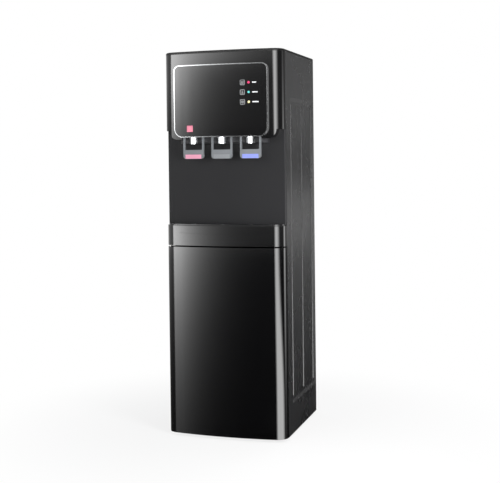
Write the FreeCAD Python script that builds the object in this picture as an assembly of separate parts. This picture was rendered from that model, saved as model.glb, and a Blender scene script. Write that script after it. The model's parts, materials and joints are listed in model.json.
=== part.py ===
"""Free-standing bottom load water cooler: steel cabinet, moulded front, three taps.

Millimetres. +Z is up and the front faces -Y; the origin is the middle of the footprint on the floor.
SEAM is the front edge of the steel side panels, which every front moulding meets.
"""
import FreeCAD, Part
import math
import os

V = FreeCAD.Vector
X_AXIS = V(1, 0, 0)
Y_AXIS = V(0, 1, 0)
Z_AXIS = V(0, 0, 1)

# ---- overall form -------------------------------------------------------------------------
WIDTH = 335.0                # outside of the side panels and of the front mouldings
SIDE_DEPTH = 300.0           # side panel, front edge to rear edge
FRONT_DEPTH = 43.0           # side panel edge to the middle of the bowed front
PANEL_PROUD = 12.0           # control panel stands this far out of the head
HEIGHT = 1040.0
FOOT_HEIGHT = 8.0
CORNER_R = 30.0              # vertical front corners, seen in plan
BOW_R = 1055.0               # gentle bow of the front, seen in plan
SEAM = FRONT_DEPTH + PANEL_PROUD - (SIDE_DEPTH + FRONT_DEPTH + PANEL_PROUD) / 2
REAR = SEAM + SIDE_DEPTH

# ---- walls and clearances -----------------------------------------------------------------
SHEET = 1.0                  # side and front steel
REAR_SHEET = 1.2
DECK_SHEET = 1.5
MOULD_WALL = 2.5             # head cover and door shell
SEAT = 0.3                   # mouldings that lie on each other without pressing
RUN = 0.05                   # radial running clearance of pins and stems
EASY = 0.3                   # clearance round pieces that slide or lift out

# ---- facets of hidden round pieces -----------------------------------------------------------------
TUBE_SIDES = 8
BEND_STEP = math.radians(22.5)
POT_SIDES = 24               # tanks, compressor and other hidden turned bodies

# ---- heights ------------------------------------------------------------------------------
DOOR_GAP_BELOW = 0.5
TOP_COVER_H = 7.0
COVER_Z = HEIGHT - TOP_COVER_H
HEAD_HIGH = 229.0            # underside of the middle lip to the top cover
CUP_SPACE = 230.0            # drip tray to the lip
HOUSING_HIGH = 55.0
DOOR_GAP_ABOVE = 4.0
LIP_BOTTOM = COVER_Z - HEAD_HIGH
WING_BOTTOM = LIP_BOTTOM + 24.0
HOUSING_TOP = LIP_BOTTOM - CUP_SPACE
HOUSING_BOTTOM = HOUSING_TOP - HOUSING_HIGH
DOOR_TOP = HOUSING_BOTTOM - DOOR_GAP_ABOVE
DECK_Z = HOUSING_BOTTOM + 26.0
SHELF_Z = HOUSING_TOP + 161.0

# ---- side panels --------------------------------------------------------------------------
FRONT_FLANGE = 17.0
REAR_FLANGE = 10.0
RECESS_DEEP = 3.0            # pressed field of the side panel
INNER_HALF = WIDTH / 2 - SHEET - RECESS_DEEP
RECESS_Z0 = 89.0
RECESS_Z1 = COVER_Z - 120.0
RECESS_FRONT = 40.0          # pressed field, from the front edge
RECESS_REAR = SIDE_DEPTH - 9.0
RECESS_SLOPE = 9.0
BEAD_Z0 = 108.0
BEAD_Z1 = RECESS_Z1 - 17.0
BEAD_FIRST = 58.0
BEAD_COUNT = 3
BEAD_PITCH = (RECESS_REAR - 13.0 - BEAD_FIRST) / (BEAD_COUNT - 1)
BEAD_WIDE = 6.0
BEAD_HIGH = 2.2

# ---- door ---------------------------------------------------------------------------------
DOOR_GAP = 4.0               # finger gap between the door and the side panels
HINGE_X = -(WIDTH / 2 - 7.5)
HINGE_Y = SEAM - 14.0
HINGE_PIN_R = 2.5
HINGE_PIN_LONG = 12.0
HINGE_BOSS_R = 5.0
HINGE_PLATE = 2.0
INNER_SHEET = 2.0
MAGNET_Z = DOOR_TOP / 2 + 12.5
MAGNET_HIGH = 44.0

# ---- head and control panel ---------------------------------------------------------------
LIP_HALF = 150.0
LIP_R = 24.0
TAP_BAY_HALF = 112.0         # opening in the head behind the control panel
TAP_BAY_FRONT = SEAM - 45.5
PANEL_FACE = SEAM - 4.0      # its face
PANEL_HALF = 131.0
PANEL_Z0 = LIP_BOTTOM + 5.5
PANEL_Z1 = COVER_Z - 31.0
PANEL_LOW_R = 24.0
PANEL_TOP_R = 16.0
TRIM_WIDE = 2.4
TRIM_STAND = 0.5             # trim stands this far proud of the panel
LENS_X = 81.5
LENS_R = 3.0
LENS_ZS = (PANEL_Z1 - 102.0, PANEL_Z1 - 76.5, PANEL_Z1 - 51.0)
KEY_X = -84.5
KEY_Z = PANEL_Z0 + 23.0
KEY_SIDE = 17.0
KEY_THICK = 4.0
KEY_TRAVEL = 1.2

# ---- taps ---------------------------------------------------------------------------------
TAP_PITCH = 80.0
TAP_NAMES = ("hot", "warm", "cold")
TAP_Y = SEAM - 33.0          # axis of nozzle and valve stem
PIVOT_Y = SEAM - 41.0
NOZZLE_R = 11.5
NOZZLE_Z0 = LIP_BOTTOM - 12.0
NOZZLE_Z1 = NOZZLE_Z0 + 22.0
PIVOT_Z = NOZZLE_Z1 + 12.0
NOZZLE_BORE = 6.0
NOZZLE_GROOVE = 4.5
SPIGOT_R = 8.0
SPIGOT_Z = NOZZLE_Z1 - 8.0
BODY_R = 10.5
BODY_TOP = NOZZLE_Z1 + 20.0
EAR_R = 4.2
ARM_HALF = 8.0               # web between valve body and ears
BARREL_HALF = 6.5            # square neck from the valve body back to the block
BARREL_Z = NOZZLE_Z1 + 8.0
BLOCK_HALF = 122.0
BLOCK_DEEP = 16.0
BLOCK_Z0 = NOZZLE_Z0 + 1.0
BLOCK_Z1 = NOZZLE_Z0 + 48.0
TAP_BAY_TOP = BLOCK_Z1 + 10.0
FRONT_PANEL_Z1 = BLOCK_Z1 + 14.0   # top edge of the satin front panel, inside the head
PIPE_R = 6.0
STEM_R = 3.0
STEM_Z0 = NOZZLE_Z1 + 2.0
STEM_COLLAR_R = 5.5
STEM_COLLAR = 2.0
PADDLE_WIDE = 57.0
PADDLE_Z0 = NOZZLE_Z0 - 40.0
PADDLE_RAIL = 3.6
PADDLE_DEEP = 8.0
PADDLE_BAND = 3.0            # thickness of the band that is pressed
PADDLE_SET = 2.0             # front face of the paddle behind the pivot
CHEEK_LEAD = 4.0
TRUNNION_LONG = 8.0
PADDLE_BAND_TOP = PADDLE_Z0 + 24.0
PADDLE_CORNER = 8.0
TRUNNION_R = 2.5
FORK_R = 2.0
FORK_RISE = 12.0             # fork above the pivot
BAR_WIDE = 45.0
BAR_HIGH = 11.0
BAR_THICK = 2.0
BAR_PROUD = 0.4
BAR_MARGIN = 0.6

# ---- drip tray ----------------------------------------------------------------------------
HOUSING_WALL = 4.0
HOUSING_RIM = 2.2
TRAY_DEPTH = 27.0
TRAY_WALL = 1.8
TRAY_STEP = 2.6
TRAY_CLEAR = 0.8             # basin to the housing's walls
GRILLE_THICK = 2.6
GRILLE_LIFT = 0.2            # grille above the housing rim, so that it rests on the tray
TRAY_BELOW = 0.1             # tray rim below the housing rim
SLOT_WIDE = 3.0
SLOT_PITCH = 9.0
SLOT_EDGE = 4.0              # slots end this far inside the basin
GROOVE_Z = HOUSING_TOP - 20.5
GROOVE_HALF = 128.0
GROOVE_RISE = 3.3
GROOVE_DEEP = 2.5

# ---- inside and rear ----------------------------------------------------------------------
PAN_FLANGE = 16.0
FLOOR_THICK = 4.0
BOTTLE_R = 135.0
BOTTLE_Y = SEAM + 140.0
BOTTLE_RIM = 4.0
FOOT_R = 17.0
NICHE_Y = REAR - 38.0        # recessed rear panel behind which the condenser stands
NICHE_HALF = WIDTH / 2 - 17.5
NICHE_Z0 = HOUSING_TOP - 8.0
NICHE_Z1 = COVER_Z - 15.0
COND_Y = REAR - 16.0
COND_HALF = 112.0
COND_PITCH = 44.0
COND_Z0 = HOUSING_TOP + 68.0
COND_RUNS = int((NICHE_Z1 - COND_Z0 - 23.0) / COND_PITCH) + 1
COND_R = 2.5
WIRE_R = 0.9
WIRE_PITCH = 14.0
CLIP_SIDE = 14.0
PROBE_X = -INNER_HALF + 21.5
PROBE_Y = SEAM + 92.0
PROBE_R = 5.0
PROBE_Z0 = 34.0
PROBE_TOP = DOOR_TOP - 9.0
STRAINER_R = 6.4
BUNG_R = 20.0
HOSE_R = 4.5
PROBE_STUB = 24.0            # probe tube above its stopper
RISER_BACK = 7.0             # pump hose behind the seam
TANK_Y = SEAM + 140.0
TANK_GAP = 15.0              # between the hot tank, its side panel and the foam
HOT_R = 50.0
HOT_X = -INNER_HALF + HOT_R + TANK_GAP + 0.5
HOT_TOP = COVER_Z - 58.0
FOAM_GAP = 6.5               # foam to the side panel
FOAM_SIDE = INNER_HALF - FOAM_GAP - HOT_X - HOT_R - TANK_GAP
FOAM_Z1 = COVER_Z - 23.0
FOAM_WALL = 25.0
COLD_X = INNER_HALF - FOAM_GAP - FOAM_SIDE / 2
COLD_R = FOAM_SIDE / 2 - FOAM_WALL
COMP_X = INNER_HALF - 103.5
COMP_Y = REAR - 132.0
COMP_R = 58.0
COMP_BASE = DECK_Z + 11.0
COMP_BOLT_X = 72.0
COMP_BOLT_Y = 40.0
COMP_NECK_R = 3.8
FITTINGS_Z = HOUSING_TOP + 29.0           # switches, drains and cord bush, in the recess under the condenser
DRIER_Z0 = FITTINGS_Z + 34.0
DRIER_LONG = 62.0
PUMP_X = -82.0
PUMP_Y = SEAM + 92.0
PUMP_HALF = 22.0
PUMP_FACE = 20.0
PUMP_FOOT = 4.0
PUMP_HIGH = 78.0
PUMP_PORT = 56.0
PUMP_BARB = 10.0
GLAND_X = NICHE_HALF - 17.0
SWITCH_XS = {"hot": GLAND_X - 57.0, "cold": GLAND_X - 29.0}
SWITCH_W = 20.0
SWITCH_H = 28.0
SWITCH_DEEP = 18.0
SWITCH_BEZEL = 1.6
DRAIN_XS = {"hot": -NICHE_HALF + 26.0, "cold": -NICHE_HALF + 64.0}
DRAIN_R = 6.0
DRAIN_LONG = 20.0
CAP_R = 11.0
CAP_LONG = 15.0
CAP_FLUTES = 12
ROCKER_PIN_R = 1.2
ROCKER_DEEP = 4.0
ROCKER_TILT = 7.0            # each way from level
GLAND_R = 7.0
VENT_COUNT = 7
VENT_PITCH = 14.0
VENT_WIDE = 5.0
VENT_HIGH = 44.0


# ---- small tools --------------------------------------------------------------------------
def box(x0, x1, y0, y1, z0, z1):
    return Part.makeBox(x1 - x0, y1 - y0, z1 - z0, V(x0, y0, z0))


def rod_x(radius, x0, x1, y, z):
    return Part.makeCylinder(radius, x1 - x0, V(x0, y, z), X_AXIS)


def rod_y(radius, x, y0, y1, z):
    return Part.makeCylinder(radius, y1 - y0, V(x, y0, z), Y_AXIS)


def rod_z(radius, x, y, z0, z1):
    return Part.makeCylinder(radius, z1 - z0, V(x, y, z0), Z_AXIS)


def bar_z(radius, x, y, z0, z1, sides):
    """Upright bar with flat sides, across whose corners radius is measured."""
    turns = [2 * math.pi * (i + 0.5) / sides for i in range(sides)]
    face = polygon([V(x + radius * math.cos(t), y + radius * math.sin(t), z0) for t in turns])
    return face.extrude(V(0, 0, z1 - z0))


def bar_y(radius, x, y0, y1, z, sides):
    """The same along Y."""
    bar = bar_z(radius, 0, 0, 0, y1 - y0, sides)
    bar.rotate(V(0, 0, 0), X_AXIS, -90)
    bar.translate(V(x, y0, z))
    return bar


def turned(outline, x, y, sides=POT_SIDES):
    """Flat-sided turned body: rings of flats through (radius, height) pairs, on an upright axis."""
    turns = [2 * math.pi * (i + 0.5) / sides for i in range(sides)]
    rings = [[V(x + r * math.cos(t), y + r * math.sin(t), z) for t in turns] for r, z in outline]
    faces = [polygon(rings[0]), polygon(rings[-1])]
    for low, high in zip(rings, rings[1:]):
        for i in range(sides):
            j = (i + 1) % sides
            faces.append(polygon([low[i], low[j], high[j], high[i]]))
    shell = Part.makeShell(faces)
    shell.sewShape()
    body = Part.makeSolid(shell)
    return body if body.Volume > 0 else body.reversed()


def fuse(shapes):
    shapes = list(shapes)
    return shapes[0].fuse(shapes[1:]).removeSplitter() if len(shapes) > 1 else shapes[0]


def face_from(edges):
    return Part.Face(Part.Wire(edges))


def polygon(points):
    return Part.Face(Part.makePolygon(points + [points[0]]))


def arc(a, middle, b):
    return Part.Arc(a, middle, b).toShape()


def line(a, b):
    return Part.LineSegment(a, b).toShape()


def mirror_x(shape):
    return shape.mirror(V(0, 0, 0), X_AXIS)


def front_plan(inset, back):
    """Plan of the front mouldings: straight sides, round corners and one bow, set in by inset."""
    half = WIDTH / 2 - inset
    corner = CORNER_R - inset
    bow = BOW_R - inset
    bow_centre = SEAM - FRONT_DEPTH + BOW_R
    centre_x = half - corner
    centre_y = bow_centre - math.sqrt((bow - corner) ** 2 - centre_x ** 2)
    lean = math.atan2(centre_x, bow_centre - centre_y)
    touch = V(bow * math.sin(lean), bow_centre - bow * math.cos(lean), 0)
    half_turn = (math.pi / 2 + lean) / 2
    mid = V(centre_x + corner * math.cos(half_turn - lean), centre_y - corner * math.sin(half_turn - lean), 0)
    left = lambda p: V(-p.x, p.y, 0)
    side = V(half, centre_y, 0)
    rear = V(half, back, 0)
    return face_from([
        line(left(rear), left(side)),
        arc(left(side), left(mid), left(touch)),
        arc(left(touch), V(0, bow_centre - bow, 0), touch),
        arc(touch, mid, side),
        line(side, rear),
        line(rear, left(rear)),
    ])


def front_prism(inset, back, z0, z1):
    """Upright block of that plan from z0 to z1, cut square at back."""
    face = front_plan(inset, max(back, SEAM))
    face.translate(V(0, 0, z0))
    block = face.extrude(V(0, 0, z1 - z0))
    if back < SEAM:
        block = block.cut(box(-WIDTH, WIDTH, back, SEAM + 1.0, z0 - 1.0, z1 + 1.0))
    return block


def front_y(x, inset=0.0):
    """Y of the bowed front surface at x."""
    bow = BOW_R - inset
    return SEAM - FRONT_DEPTH + BOW_R - math.sqrt(bow ** 2 - x ** 2)


def rounded_xz(half, z0, z1, low_r, top_r, y0, y1):
    """Block along Y whose front view is a rectangle with its own low and top corner radii."""
    c = math.cos(math.pi / 4)

    def corner(sign, z, r, up):
        cx = sign * (half - r)
        cz = z - up * r
        return V(sign * half, y0, cz), V(cx + sign * r * c, y0, cz + up * r * c), V(cx, y0, z)

    right_low = corner(1, z0, low_r, -1)
    right_top = corner(1, z1, top_r, 1)
    left_top = corner(-1, z1, top_r, 1)
    left_low = corner(-1, z0, low_r, -1)
    edges = [
        arc(right_low[2], right_low[1], right_low[0]), line(right_low[0], right_top[0]),
        arc(right_top[0], right_top[1], right_top[2]), line(right_top[2], left_top[2]),
        arc(left_top[2], left_top[1], left_top[0]), line(left_top[0], left_low[0]),
        arc(left_low[0], left_low[1], left_low[2]), line(left_low[2], right_low[2]),
    ]
    return face_from(edges).extrude(V(0, y1 - y0, 0))


def bend_points(first, corner, last):
    """Chord points of the arc that is tangent at first and at last to the runs through corner."""
    arriving = (corner - first).normalize()
    leaving = (last - corner).normalize()
    turn = arriving.getAngle(leaving)
    radius = (corner - first).Length / math.tan(turn / 2)
    inward = (leaving - arriving * math.cos(turn)).normalize()
    steps = max(2, math.ceil(turn / BEND_STEP))
    points = []
    for i in range(steps + 1):
        t = turn * i / steps
        points.append(first + arriving * (radius * math.sin(t)) + inward * (radius * (1 - math.cos(t))))
    return points, radius


def swept(points, radius, name):
    """Flat-sided tube along a chain of points, mitred at each."""
    path = Part.makePolygon(points)
    direction = (points[1] - points[0]).normalize()
    across = direction.cross(Z_AXIS if abs(direction.z) < 0.9 else X_AXIS).normalize()
    up = direction.cross(across)
    turns = [2 * math.pi * (i + 0.5) / TUBE_SIDES for i in range(TUBE_SIDES + 1)]
    ring = Part.makePolygon([points[0] + across * (radius * math.cos(t)) + up * (radius * math.sin(t))
                             for t in turns])
    tube = path.makePipeShell([ring], True, False, 1)
    section = TUBE_SIDES / 2 * math.sin(2 * math.pi / TUBE_SIDES) * radius ** 2
    print(name, "volume ratio", round(tube.Volume / (section * path.Length), 4))
    return tube


def tube_along(points, radius, name):
    """Tube on straight runs joined by tangent arcs, each as large as its two runs allow."""
    chain = [points[0]]
    radii = []
    for before, here, after in zip(points, points[1:], points[2:]):
        cut = 0.45 * min((here - before).Length, (after - here).Length)
        first = here + (before - here).normalize() * cut
        last = here + (after - here).normalize() * cut
        bend, bend_radius = bend_points(first, here, last)
        chain += bend
        radii.append(round(bend_radius, 1))
    print(name, "radii", radii)
    return swept(chain + [points[-1]], radius, name)


# ---- cabinet ------------------------------------------------------------------------------
def side_panel():
    """Right side: a pressed field with three upright beads, and flanges turned in at both edges."""
    half = WIDTH / 2
    pressed = [
        (SEAM + RECESS_FRONT, 0.0), (SEAM + RECESS_FRONT + RECESS_SLOPE, RECESS_DEEP),
        (SEAM + RECESS_REAR - RECESS_SLOPE / 2, RECESS_DEEP), (SEAM + RECESS_REAR, 0.0),
    ]

    def skin(outer):
        solid = box(half - FRONT_FLANGE - outer, half - outer, SEAM, REAR, FOOT_HEIGHT, COVER_Z)
        low = polygon([V(half - outer - d, y, RECESS_Z0 + RECESS_SLOPE) for y, d in pressed])
        field = low.extrude(V(0, 0, RECESS_Z1 - RECESS_Z0 - 2 * RECESS_SLOPE))
        slopes = []
        for z_far, z_near in ((RECESS_Z0, RECESS_Z0 + RECESS_SLOPE), (RECESS_Z1, RECESS_Z1 - RECESS_SLOPE)):
            y0, y1 = pressed[0][0], pressed[3][0]
            ridge = [V(half - outer, y0, z_far), V(half - outer, y1, z_far), V(half - outer, y1, z_near),
                     V(half - outer, y0, z_near)]
            floor = [V(half - outer - RECESS_DEEP, pressed[1][0], z_near),
                     V(half - outer - RECESS_DEEP, pressed[2][0], z_near)]
            faces = [
                polygon(ridge), polygon([ridge[0], floor[0], ridge[3]]), polygon([ridge[1], ridge[2], floor[1]]),
                polygon([ridge[0], ridge[1], floor[1], floor[0]]), polygon([ridge[3], floor[0], floor[1], ridge[2]]),
            ]
            slopes.append(Part.Solid(Part.Shell(faces)))
        solid = solid.cut([field] + slopes)
        beads = []
        for i in range(BEAD_COUNT):
            y = SEAM + BEAD_FIRST + i * BEAD_PITCH
            x = half - outer - RECESS_DEEP
            w = BEAD_WIDE / 2
            ridge = face_from([
                line(V(x - SHEET, y - w, BEAD_Z0), V(x, y - w, BEAD_Z0)),
                arc(V(x, y - w, BEAD_Z0), V(x + BEAD_HIGH, y, BEAD_Z0), V(x, y + w, BEAD_Z0)),
                line(V(x, y + w, BEAD_Z0), V(x - SHEET, y + w, BEAD_Z0)),
                line(V(x - SHEET, y + w, BEAD_Z0), V(x - SHEET, y - w, BEAD_Z0)),
            ])
            beads.append(ridge.extrude(V(0, 0, BEAD_Z1 - BEAD_Z0)))
        return solid.fuse(beads)

    hollow = box(0, half - SHEET, SEAM + SHEET, REAR - SHEET, 0, HEIGHT)
    panel = skin(0.0).cut(skin(SHEET).common(hollow))
    inner = half - FRONT_FLANGE - SHEET
    panel = panel.cut(box(inner - SHEET, half - REAR_FLANGE, REAR - 2 * SHEET, REAR + SHEET, 0, HEIGHT))
    panel = panel.cut(box(0, half - FRONT_FLANGE, SEAM - SHEET, REAR + SHEET, 0, HEIGHT))
    return panel.removeSplitter()


def base_pan():
    inner = INNER_HALF
    outer = box(-inner, inner, SEAM + SHEET, REAR - SHEET, FOOT_HEIGHT, FOOT_HEIGHT + PAN_FLANGE)
    well = box(-inner + DECK_SHEET, inner - DECK_SHEET, SEAM + SHEET + DECK_SHEET, REAR - SHEET - DECK_SHEET,
               FOOT_HEIGHT + DECK_SHEET, HEIGHT)
    pan = outer.cut(well)
    upright = [e for e in pan.Edges if e.BoundBox.ZLength > PAN_FLANGE - 1 and e.BoundBox.XLength < 1]
    return pan.makeFillet(DECK_SHEET / 2, upright)


def feet():
    pads = []
    for x in (-WIDTH / 2 + 42.0, WIDTH / 2 - 42.0):
        for y in (SEAM + 40.0, REAR - 34.0):
            pads.append(turned([(FOOT_R - 2.0, 0), (FOOT_R, FOOT_HEIGHT)], x, y))
    return Part.makeCompound(pads)


def bottle_floor():
    """Moulded floor of the bottle bay with a low rim that guides the bottle, open to the front."""
    half = INNER_HALF - DECK_SHEET - 1.0
    z0 = FOOT_HEIGHT + DECK_SHEET
    z1 = z0 + FLOOR_THICK
    front = SEAM + SHEET + DECK_SHEET + 1.0
    rear = REAR - SHEET - DECK_SHEET - 1.0
    plate = box(-half, half, front, rear, z0, z1)
    ring = rod_z(BOTTLE_R + 8.0, 0, BOTTLE_Y, z1, z1 + BOTTLE_RIM).cut(
        rod_z(BOTTLE_R + 4.0, 0, BOTTLE_Y, z1, z1 + BOTTLE_RIM))
    ring = ring.common(box(-half, half, BOTTLE_Y - 60.0, rear, z1, z1 + BOTTLE_RIM))
    ribs = [box(-half, half, y, y + 3.0, z0, z0 + 1.0) for y in (front + 6.0, rear - 9.0)]
    return fuse([plate, ring] + ribs)


def mid_deck():
    """Steel deck over the bottle bay; it carries the compressor and the pump."""
    inner = INNER_HALF
    y0, y1 = SEAM + SHEET, REAR - SHEET - REAR_SHEET
    tray = box(-inner, inner, y0, y1, DECK_Z, DECK_Z + 14.0)
    well = box(-inner + DECK_SHEET, inner - DECK_SHEET, y0 + DECK_SHEET, y1 - DECK_SHEET,
               DECK_Z + DECK_SHEET, HEIGHT)
    hose_hole = rod_z(HOSE_R + 2.0, PROBE_X, PROBE_Y, DECK_Z - 1.0, DECK_Z + DECK_SHEET + 1.0)
    return tray.cut([well, hose_hole])


def tank_shelf():
    """Shelf under the two tanks, with a gap in front for the hoses."""
    inner = INNER_HALF
    y0, y1 = SEAM + 34.0, NICHE_Y
    plate = box(-inner, inner, y0, y1, SHELF_Z, SHELF_Z + DECK_SHEET)
    lips = [box(s * inner - (DECK_SHEET if s > 0 else 0), s * inner + (0 if s > 0 else DECK_SHEET),
                y0, y1, SHELF_Z - 14.0, SHELF_Z + DECK_SHEET) for s in (-1, 1)]
    lips.append(box(-inner, inner, y0, y0 + DECK_SHEET, SHELF_Z - 14.0, SHELF_Z + DECK_SHEET))
    return fuse([plate] + lips)


def rear_panel_lower():
    """Flat steel back of the bottle bay."""
    half = INNER_HALF - 0.5
    y1 = REAR - SHEET
    sheet = box(-half, half, y1 - REAR_SHEET, y1, FOOT_HEIGHT + PAN_FLANGE, NICHE_Z0 - 14.0)
    field = box(-half + 30.0, half - 30.0, y1 - 0.4, y1 + 1.0, 60.0, NICHE_Z0 - 60.0)
    return sheet.cut(field)


def rear_panel_upper():
    """Steel back drawn in to make the condenser's recess; vents and fittings are under the condenser."""
    half = INNER_HALF - 0.5
    y1 = REAR - SHEET
    t = REAR_SHEET
    a, b = NICHE_Y - 1.0, NICHE_Y + 2 * t
    flange = box(-half, half, y1 - t, y1, NICHE_Z0 - 14.0, COVER_Z)
    pan = box(-NICHE_HALF - t, NICHE_HALF + t, NICHE_Y, y1 - t, NICHE_Z0 - t, NICHE_Z1 + t)
    well = box(-NICHE_HALF, NICHE_HALF, NICHE_Y + t, REAR + 1.0, NICHE_Z0, NICHE_Z1)
    holes = []
    for i in range(VENT_COUNT):
        x = (i - (VENT_COUNT - 1) / 2) * VENT_PITCH
        holes.append(box(x - VENT_WIDE / 2, x + VENT_WIDE / 2, a, b, FITTINGS_Z - VENT_HIGH / 2,
                         FITTINGS_Z + VENT_HIGH / 2))
    for x in SWITCH_XS.values():
        holes.append(box(x - SWITCH_W / 2, x + SWITCH_W / 2, a, b, FITTINGS_Z - SWITCH_H / 2,
                         FITTINGS_Z + SWITCH_H / 2))
    holes += [rod_y(DRAIN_R, x, a, b, FITTINGS_Z) for x in DRAIN_XS.values()]
    holes.append(rod_y(GLAND_R, GLAND_X, a, b, FITTINGS_Z))
    holes += [rod_y(COND_R + 1.0, x, a, b, z) for x, z in condenser_ends()]
    return flange.fuse(pan).cut([well] + holes).removeSplitter()


def front_panel():
    """Satin steel panel behind the cups: upright edges rolled back to the side panels."""
    z0, z1 = HOUSING_TOP + 1.0, FRONT_PANEL_Z1
    half = WIDTH / 2 - 0.4
    face, edge = PANEL_FACE, 3.6

    def section(t):
        c = math.cos(math.pi / 4)
        h, r, f = half - t, edge - t, face + t
        return face_from([
            line(V(-h, SEAM, z0), V(-h, f + r, z0)),
            arc(V(-h, f + r, z0), V(-h + r - r * c, f + r - r * c, z0), V(-h + r, f, z0)),
            line(V(-h + r, f, z0), V(h - r, f, z0)),
            arc(V(h - r, f, z0), V(h - r + r * c, f + r - r * c, z0), V(h, f + r, z0)),
            line(V(h, f + r, z0), V(h, SEAM, z0)),
            line(V(h, SEAM, z0), V(-h, SEAM, z0)),
        ]).extrude(V(0, 0, z1 - z0))

    holes = [rod_y(PIPE_R, x, face - 1.0, SEAM, BARREL_Z) for x in tap_xs()]
    return section(0.0).cut([section(SHEET)] + holes)


def top_cover():
    """Moulded lid over cabinet and head, its upper edge rounded all the way round."""
    head = front_prism(0.0, SEAM, COVER_Z, HEIGHT)
    body = box(-WIDTH / 2, WIDTH / 2, SEAM, REAR, COVER_Z, HEIGHT)
    slab = head.fuse(body).removeSplitter()
    rim = [e for e in slab.Edges if e.BoundBox.ZMin > HEIGHT - 0.1]
    slab = slab.makeFillet(4.5, rim)
    lip_half = INNER_HALF - 1.0
    under = box(-lip_half, lip_half, SEAM + SHEET + 0.5, REAR - 3.0, COVER_Z - 8.0, COVER_Z)
    hollow = box(-lip_half + 2.0, lip_half - 2.0, SEAM + SHEET + 2.5, REAR - 5.0, COVER_Z - 8.0, COVER_Z + 3.5)
    return slab.fuse(under).cut(hollow)


# ---- head ---------------------------------------------------------------------------------
def head_front_view(inset, y0, y1):
    """Front view of the head: wings with a rounded middle lip hanging below them."""
    half = WIDTH / 2 + 5.0
    lip = LIP_HALF - inset
    r = LIP_R - inset
    low = LIP_BOTTOM + inset
    c = math.cos(math.pi / 4)
    wing = WING_BOTTOM + inset
    top = COVER_Z
    arc_z = low + r
    left = lambda x, z: V(-x, y0, z)
    right = lambda x, z: V(x, y0, z)
    edges = []
    ring = [right(half, wing), right(lip, wing), right(lip, arc_z)]
    edges.append(line(ring[0], ring[1]))
    if abs(wing - arc_z) > 1e-6:
        edges.append(line(ring[1], ring[2]))
    edges.append(arc(ring[2], right(lip - r + r * c, low + r - r * c), right(lip - r, low)))
    edges.append(line(right(lip - r, low), left(lip - r, low)))
    edges.append(arc(left(lip - r, low), left(lip - r + r * c, low + r - r * c), left(lip, arc_z)))
    if abs(wing - arc_z) > 1e-6:
        edges.append(line(left(lip, arc_z), left(lip, wing)))
    edges += [line(left(lip, wing), left(half, wing)), line(left(half, wing), left(half, top)),
              line(left(half, top), right(half, top)), line(right(half, top), right(half, wing))]
    return face_from(edges).extrude(V(0, y1 - y0, 0))


def head_cover():
    """Gloss moulding of the head: bowed front, closed underneath, open behind the control panel."""
    y0, y1 = SEAM - FRONT_DEPTH - 5.0, SEAM
    outer = front_prism(0.0, SEAM, LIP_BOTTOM - 1.0, COVER_Z).common(head_front_view(0.0, y0, y1))
    core = front_prism(MOULD_WALL, SEAM + 1.0, LIP_BOTTOM - 1.0, COVER_Z).common(
        head_front_view(MOULD_WALL, y0, y1 + 1.0))
    block = box(-BLOCK_HALF - SEAT, BLOCK_HALF + SEAT, PANEL_FACE - BLOCK_DEEP - SEAT, SEAM + 1.0,
                LIP_BOTTOM - 5.0, TAP_BAY_TOP)
    panel = box(-WIDTH / 2 - 1.0, WIDTH / 2 + 1.0, PANEL_FACE - SEAT, SEAM + 1.0, LIP_BOTTOM - 5.0,
                FRONT_PANEL_Z1 + SEAT)
    return outer.cut([core, tap_bay(), block, panel])


def tap_bay():
    """Room for the three taps behind the control panel."""
    return box(-TAP_BAY_HALF, TAP_BAY_HALF, TAP_BAY_FRONT, PANEL_FACE, LIP_BOTTOM - 5.0, TAP_BAY_TOP)


def panel_band(inset, half_inset, z_inset):
    """Block between the head's bow and the panel's own bow, with the panel's front outline."""
    outline = rounded_xz(PANEL_HALF - half_inset, PANEL_Z0 + z_inset, PANEL_Z1 - z_inset,
                         PANEL_LOW_R - half_inset, PANEL_TOP_R - half_inset,
                         SEAM - FRONT_DEPTH - PANEL_PROUD - 5.0, SEAM - FRONT_DEPTH + 15.0)
    bow = front_prism(-PANEL_PROUD + inset, SEAM, PANEL_Z0 - 1.0, PANEL_Z1 + 1.0)
    return outline.common(bow)


def control_trim():
    band = panel_band(0.0, 0.0, 0.0).cut(panel_band(-1.0, TRIM_WIDE, TRIM_WIDE))
    return band.cut([front_prism(0.0, SEAM, PANEL_Z0 - 2.0, PANEL_Z1 + 2.0), tap_bay()])


def control_panel():
    """Gloss panel: a shallow bowed tray inside the trim, with holes for the lenses and the key."""
    gap = TRIM_WIDE
    tray = panel_band(TRIM_STAND, gap, gap).cut(front_prism(0.0, SEAM, PANEL_Z0 - 2.0, PANEL_Z1 + 2.0))
    wall = gap + MOULD_WALL
    inner = panel_band(TRIM_STAND + MOULD_WALL, wall, wall)
    holes = [rod_y(LENS_R, LENS_X, SEAM - 70.0, SEAM - 30.0, z) for z in LENS_ZS]
    half = KEY_SIDE / 2 + EASY
    holes.append(box(KEY_X - half, KEY_X + half, SEAM - 70.0, SEAM - 30.0, KEY_Z - half, KEY_Z + half))
    return tray.cut([inner, tap_bay()] + holes)


def indicator_lenses():
    skin = front_prism(-PANEL_PROUD + TRIM_STAND - 0.3, SEAM, PANEL_Z0, PANEL_Z1)
    lenses = []
    for z in LENS_ZS:
        stem = rod_y(LENS_R, LENS_X, SEAM - FRONT_DEPTH - PANEL_PROUD - 5.0, SEAM - FRONT_DEPTH - 4.0, z)
        lenses.append(stem.common(skin))
    return Part.makeCompound(lenses)


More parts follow.
